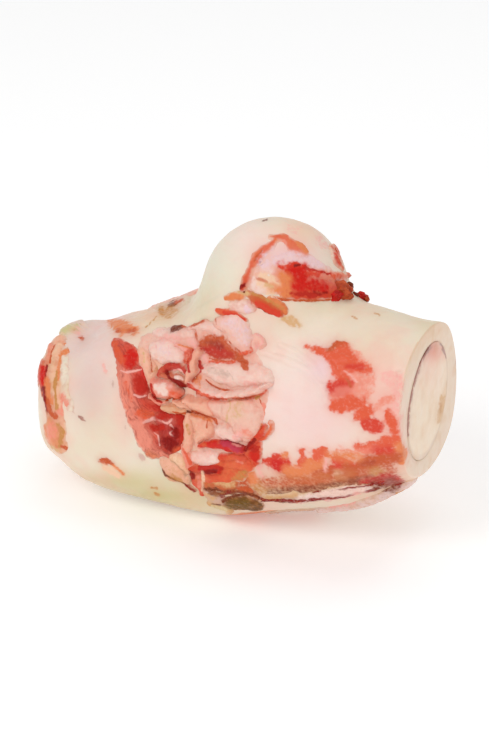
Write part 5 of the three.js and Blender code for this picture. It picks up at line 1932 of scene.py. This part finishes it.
BALL_ROLLS = (
    Stroke(Tone.ROSE, (258, 284, 10, 272, 277, 18, 290, 272, 20, 308, 272, 18, 326, 279, 12, 340, 281, 7),
           0.5, square=3),
    Stroke(Tone.VERMILION, (243, 290, 3.6, 246, 281, 5, 248, 274, 4.6, 252, 266, 4), 1),
    Stroke(Tone.CORAL, (251, 268, 4, 255, 261, 6, 260, 254, 6.4, 267, 249, 5.4, 273, 244, 4.6, 277, 238.5,
           4), 0.8),
    Stroke(Tone.CORAL, (270, 237, 2.4, 280, 237.5, 4.6, 288, 241, 5.6, 295, 247, 7, 305, 254, 5), 0.8),
    Stroke(Tone.SALMON, (306, 272, 4.4, 318, 275, 5.4, 334, 277, 5, 347, 276, 3.4), 1.8, lean=-0.3),
    Stroke(Tone.CORAL, (280, 278, 10, 290, 280, 15, 300, 284, 14), 0.9),
    Stroke(Tone.VERMILION, (286, 289, 9, 298, 289, 12.5, 308, 288, 13, 322, 288.5, 12, 338, 290, 9.5), 1.5,
           square=2.6),
    Stroke(Tone.SALMON, (272, 296.5, 1.4, 282, 298.5, 1.8, 296, 300, 1.8, 314, 299.8, 1.8, 332, 298.8, 1.6),
           1.2),
    Stroke(Tone.VERMILION, (331, 247, 2, 335, 251, 3.6, 336, 258, 4.4, 339, 264, 4, 342, 270, 2), 1.6),
)
BALL_MARKS = marks(
    (Tone.OXBLOOD, 1, 241, 287.5, 1.6, 243.5, 286, 2.2, 245, 284, 1.4),
    (Tone.BROWN, 1, 244, 293, 1.2, 247, 294, 1.2),
    (Tone.RUST, 0.7, 254, 262, 1.2, 258, 255, 1.2, 262, 251, 1),
    (Tone.OXBLOOD, 1, 260.5, 262, 1.3, 261.5, 264, 1.5),
    (Tone.SALMON, 1, 283, 243, 2.4, 283.5, 248, 1.8),
    (Tone.OCHRE, 1, 282, 248, 1, 284, 249, 1),
    (Tone.LAVENDER, 0.6, 262, 266, 5, 276, 257, 9, 290, 258, 7, 308, 262, 6, 322, 264, 5),
    (Tone.ORANGE, 0.75, 300, 243, 4, 307, 247, 5),
    (Tone.VERMILION, 1, 280, 266, 3, 287, 268, 4.4, 296, 268, 4.4, 304, 267, 3.4),
    (Tone.SCARLET, 1, 292, 273, 5, 299, 276, 8, 303, 270, 4.5),
    (Tone.OXBLOOD, 1, 295, 265.5, 0.7, 300, 265, 0.8),
    (Tone.RED, 1, 305, 266.5, 0.9, 308.5, 269.5, 1.4, 315, 270.5, 1, 322, 272.3, 1, 330, 273.5, 0.9),
    (Tone.VERMILION, 0.75, 308, 273, 3, 318, 274, 2.4),
    (Tone.CORAL, 0.7, 332, 276, 2, 340, 276, 2.4),
    (Tone.ORANGE, 0.8, 282, 276, 5, 286, 284, 7, 288, 291, 5),
    (Tone.PEACH, 0.8, 262, 279, 5, 272, 284, 7, 272, 293, 5),
    (Tone.ORANGE, 0.7, 272, 287, 3.4, 279, 291, 4.4, 285, 294, 4),
    (Tone.RUST, 0.6, 256, 278, 0.9, 262, 279.5, 1.3, 267, 282, 1.1),
    (Tone.TAN, 0.7, 266, 284, 1.6, 272, 287, 1.8),
    (Tone.SCARLET, 0.7, 296, 286, 5, 311, 284.5, 6, 324, 288, 5),
    (Tone.RED, 1, 306, 293.5, 1.6, 313, 294.5, 2.2, 320, 294, 1.6),
    (Tone.RED, 0.8, 292, 293, 1.8, 303, 295, 2),
    (Tone.OXBLOOD, 0.5, 314, 291, 1.2, 320, 293, 1.4, 326, 293, 1.2),
    (Tone.RUST, 0.9, 274, 297, 0.8, 284, 299.5, 1, 300, 300.5, 1, 318, 300, 1, 332, 299.5, 1),
)
SINEW_ROLLS = (
    Stroke(Tone.ORANGE, (226, 298, 3.6, 233, 296.5, 4.6, 241, 296, 4.4), 1.3),
    Stroke(Tone.RUST, (248, 294, 4, 256, 299, 6.5, 265, 304.5, 7.5, 274, 310, 6.5, 282, 315, 4), 1.6,
           square=2.4),
    Stroke(Tone.ORANGE, (270, 299, 4, 278, 304, 5.4, 285, 312, 4.6), 1.2),
    Stroke(Tone.FAT_AND_HIGHLIGHT_WHITE, (234, 306, 5, 243, 306.5, 7, 251, 309, 5), 2.6),
    Stroke(Tone.CORAL, (218, 311, 3.4, 228, 313, 5, 238, 317, 4.4, 246, 320, 2.4), 2),
)
SINEW_MARKS = marks(
    (Tone.OCHRE, 0.6, 252, 293, 2, 262, 297, 2, 272, 302, 1.8, 282, 309, 1.6),
    (Tone.VERMILION, 0.8, 256, 303, 2.4, 264, 308, 4, 271, 312, 4, 278, 315, 3),
    (Tone.BROWN, 0.8, 258, 309, 0.8, 266, 314, 1, 272, 317, 0.9),
    (Tone.TAN, 0.7, 240, 292, 2.4, 248, 294, 2.4),
    (Tone.LAVENDER, 1, 246, 308, 1.8, 249, 311, 1.8),
    (Tone.VERMILION, 0.8, 224, 312, 1.6, 234, 316, 2.4, 243, 320, 1.6),
)
END_ROLLS = (
    Stroke(Tone.FAT_PEACH, (62, 338, 5, 55, 350, 8, 51, 370, 11, 52, 392, 11, 55, 412, 9, 56, 432, 10, 60,
           446, 8), 0.8, square=4),
    Stroke(Tone.PEACH, (59, 346, 4, 55, 360, 5, 54, 378, 5.6, 56, 396, 5.6, 60, 412, 4.4), 1.6),
    Stroke(Tone.IVORY, (65, 352, 4, 64, 374, 5.4, 65, 392, 5, 70, 408, 3.4), 1.1),
    Stroke(Tone.SALMON, (52, 346, 2.4, 48, 358, 3, 46, 372, 3.4, 47, 388, 3), 1.5),
    Stroke(Tone.VERMILION, (43, 362, 3, 42, 374, 4.6, 44, 388, 3.6, 47, 402, 3), 1.3),
    Stroke(Tone.ORANGE, (50, 420, 4, 53, 432, 9, 57, 444, 7), 1.3, square=2.4),
    Stroke(Tone.STRAW, (62, 333, 3, 70, 329, 4, 80, 326, 3), 1.5),
)
END_MARKS = marks(
    (Tone.RUST, 1, 55.5, 344, 0.8, 52, 351, 0.9, 50, 362, 0.9),
    (Tone.OXBLOOD, 1, 47, 366, 0.9, 45.5, 373, 1.2, 45.5, 383, 1.4),
    (Tone.SCARLET, 1, 42, 368, 1.8, 42, 376, 3, 43, 384, 2),
    (Tone.ORANGE, 0.85, 47, 380, 2.4, 47.5, 392, 2.6, 51, 402, 2.6),
    (Tone.OXBLOOD, 1, 42.5, 388, 1.2, 45, 398, 1.6, 48, 409, 2.2, 53, 415, 1.8),
    (Tone.RUST, 1, 48, 400, 1.6, 50, 411, 2, 56, 416.5, 2.2),
    (Tone.ORANGE, 0.8, 60, 356, 1.4, 59, 368, 1.6, 58, 380, 1.4),
    (Tone.OCHRE, 1, 57, 372, 0.9, 55.5, 382, 1.3, 55, 394, 0.9, 57, 409, 1),
    (Tone.SALMON, 0.7, 62, 396, 3, 65, 405, 3.4, 62, 412, 3),
    (Tone.ORANGE, 0.85, 64, 344.5, 1, 70, 344, 1.1, 76, 346, 0.9),
    (Tone.ORANGE, 0.85, 63, 353, 2, 68, 351, 2.2, 72, 348, 1.6),
    (Tone.OCHRE, 1, 58, 424, 1.8, 61.5, 434, 2.6, 60, 445, 2.4),
    (Tone.SALMON, 0.6, 50, 426, 4, 53, 436, 5),
    (Tone.RUST, 1, 61, 445.5, 1, 64, 447.5, 1.2, 67, 449.5, 0.8),
    (Tone.TAN, 0.8, 50, 447, 2, 58, 450, 2),
)
BACK_MEAT_ROLLS = (
    Stroke(Tone.VERMILION, (-48, 9, 3, -40, 7, 5, -30, 1, 5.5, -20, -5, 7.5, -8, -8, 6, 2, -14, 6.5, 12,
           -20, 3), 2.4, view=View.BACK),
    Stroke(Tone.CRIMSON, (-26, -4, 3, -22, -14, 5.5, -14, -22, 5, -4, -27, 3), 2.8, view=View.BACK),
    Stroke(Tone.SALMON, (-42, 13, 3, -28, 8, 5, -12, 2, 5, 2, -5, 4), 1.3, view=View.BACK),
)
BACK_MEAT_MARKS = marks(
    (Tone.BLUSH, 0.8, -44, 6, 0.4, -28, -2, 0.6, -12, -9, 0.5),
    (Tone.OXBLOOD, 0.8, -22, -10, 1.6, -16, -18, 2),
    (Tone.CORAL, 0.7, -34, 0, 1.5, -24, -7, 2, -8, -12, 1.5),
    view=View.BACK,
)
BACK_FAT_ROLLS = (
    Stroke(Tone.FAT, (12, 13, 4, 24, 8, 7, 36, -2, 5.5), 3.8, view=View.BACK),
    Stroke(Tone.FAT_PEACH, (18, -2, 4, 28, -10, 7, 35, -24, 4.5), 4.2, view=View.BACK),
    Stroke(Tone.FAT_AND_HIGHLIGHT_WHITE, (8, 4, 3, 16, 0, 5, 24, -2, 4), 2.8, view=View.BACK),
)
BACK_FAT_MARKS = marks(
    (Tone.SALMON, 0.8, 14, 6, 0.5, 22, 3, 0.8, 32, -6, 0.6),
    (Tone.VERMILION, 0.7, 22, -14, 1, 30, -20, 1.4),
    view=View.BACK,
)
BALL_SCRAPS = (
    Scrap((340, 290), (4, 3.2, 2.6), -8, 0.8, Tone.RUST),
    Scrap((335, 296), (2.6, 1.8, 2), 20, 0.9, Tone.SCARLET),
    Scrap((346, 296), (2.6, 1.6, 1.8), 0, 0.6, Tone.RUST),
    Scrap((349, 287), (1.6, 1.6, 1.6), -40, 0.6, Tone.BROWN),
    Scrap((362, 296.5), (2.4, 1.6, 1.8), -28, 0.6, Tone.SCARLET),
    Scrap((355, 294), (1.8, 0.7, 1), -20, 0.5, Tone.BROWN),
    Scrap((367, 299), (1.1, 0.9, 0.9), -50, 0.4, Tone.RUST),
    Scrap((334.5, 251), (0.9, 1.3, 1.2), 18, 0.1, Tone.RUST),
    Scrap((338.5, 262), (0.7, 1.7, 1.2), 16, 0.1, Tone.RUST),
    Scrap((346, 275.5), (1.9, 1.1, 1.2), 0, 0.3, Tone.SALMON),
)


def main() -> None:
    """Builds the studio and every piece, and logs each one."""
    logging.basicConfig(level=logging.INFO, format="%(message)s")
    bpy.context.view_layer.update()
    bone_low, bone_high = (np.array(corner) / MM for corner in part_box("bone"))
    marrow_low, marrow_high = (np.array(corner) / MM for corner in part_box("marrow"))
    SHIFT[:] = (
        bone_high[0] - CUT_X,
        (marrow_low[1] + marrow_high[1]) / 2 - MARROW_CENTRE_Y,
        bone_low[2] - FLOOR_Z,
    )
    LOG.info("shift from the shaft's own millimetres into the frame: %s", SHIFT)
    Studio().build()
    layers = (
        Layer("trochanter_muscle_band", "meat", ("trochanter_muscle",), MUSCLE_ROLLS, MEAT_FINISH,
              MUSCLE_MARKS, rim_tone=Tone.SALMON, crease_shade_tone=Tone.OXBLOOD),
        Layer("neck_fat_folds", "fat", ("neck_fat",), FAT_ROLLS, FAT_FINISH, FAT_MARKS, FAT_HOLLOWS,
              rim_tone=Tone.SALMON, crease_shade_tone=Tone.CORAL, crease_shade_strength=0.5, gain=0.7, flush=0.2),
        Layer("neck_knob_lumps", "meat", ("neck_knob",), KNOB_ROLLS, BALL_FINISH, KNOB_MARKS, spacing=0.25,
              rim_tone=Tone.SALMON, crease_shade_strength=0.4, gain=0.7),
        Layer("neck_meat_folds", "meat", ("neck_meat",), MEAT_ROLLS, BALL_FINISH, MEAT_MARKS,
              crease_shade_tone=Tone.RED, crease_shade_strength=0.3, gain=0.65, blend=0.5),
        Layer("under_fat_folds", "fat", ("under_fat",), UNDER_ROLLS, FASCIA_FINISH, UNDER_MARKS,
              crease_shade_tone=Tone.UMBER, crease_shade_strength=0.5),
        Layer("shaft_fascia_flap", "fascia", ("shaft_fascia",), FASCIA_ROLLS, FASCIA_FINISH, FASCIA_MARKS,
              rim_tone=Tone.TAN, crease_shade_tone=Tone.UMBER, crease_shade_strength=0.5, grit=0.3),
        Layer("ball_meat_edge", "meat", ("ball_meat",), BALL_ROLLS, BALL_FINISH, BALL_MARKS, lumps=0.2,
              fade=(-0.2, 1.4)),
        Layer("neck_sinew_strips", "sinew", ("neck_sinew",), SINEW_ROLLS, SINEW_FINISH, SINEW_MARKS,
              flush=0.1),
        Layer("end_folds", "sinew", ("end_fold",), END_ROLLS, SINEW_FINISH, END_MARKS, rim_tone=Tone.TAN,
              crease_shade_tone=Tone.OCHRE),
        Layer("back_meat_band", "meat", ("back_meat",), BACK_MEAT_ROLLS, MEAT_FINISH, BACK_MEAT_MARKS,
              rim_tone=Tone.SALMON, crease_shade_tone=Tone.OXBLOOD, fade=(-0.2, 1.4), wander=1.2),
        Layer("back_fat_folds", "fat", ("back_fat",), BACK_FAT_ROLLS, FAT_FINISH, BACK_FAT_MARKS,
              rim_tone=Tone.SALMON, wander=1.0),
    )
    Bone().build()
    MarrowPlug().build()
    for layer in layers:
        layer.build()
    Scraps("ball_scraps", "meat", BALL_SCRAPS, SCRAP_FINISH).build()


if __name__ == "__main__":
    main()
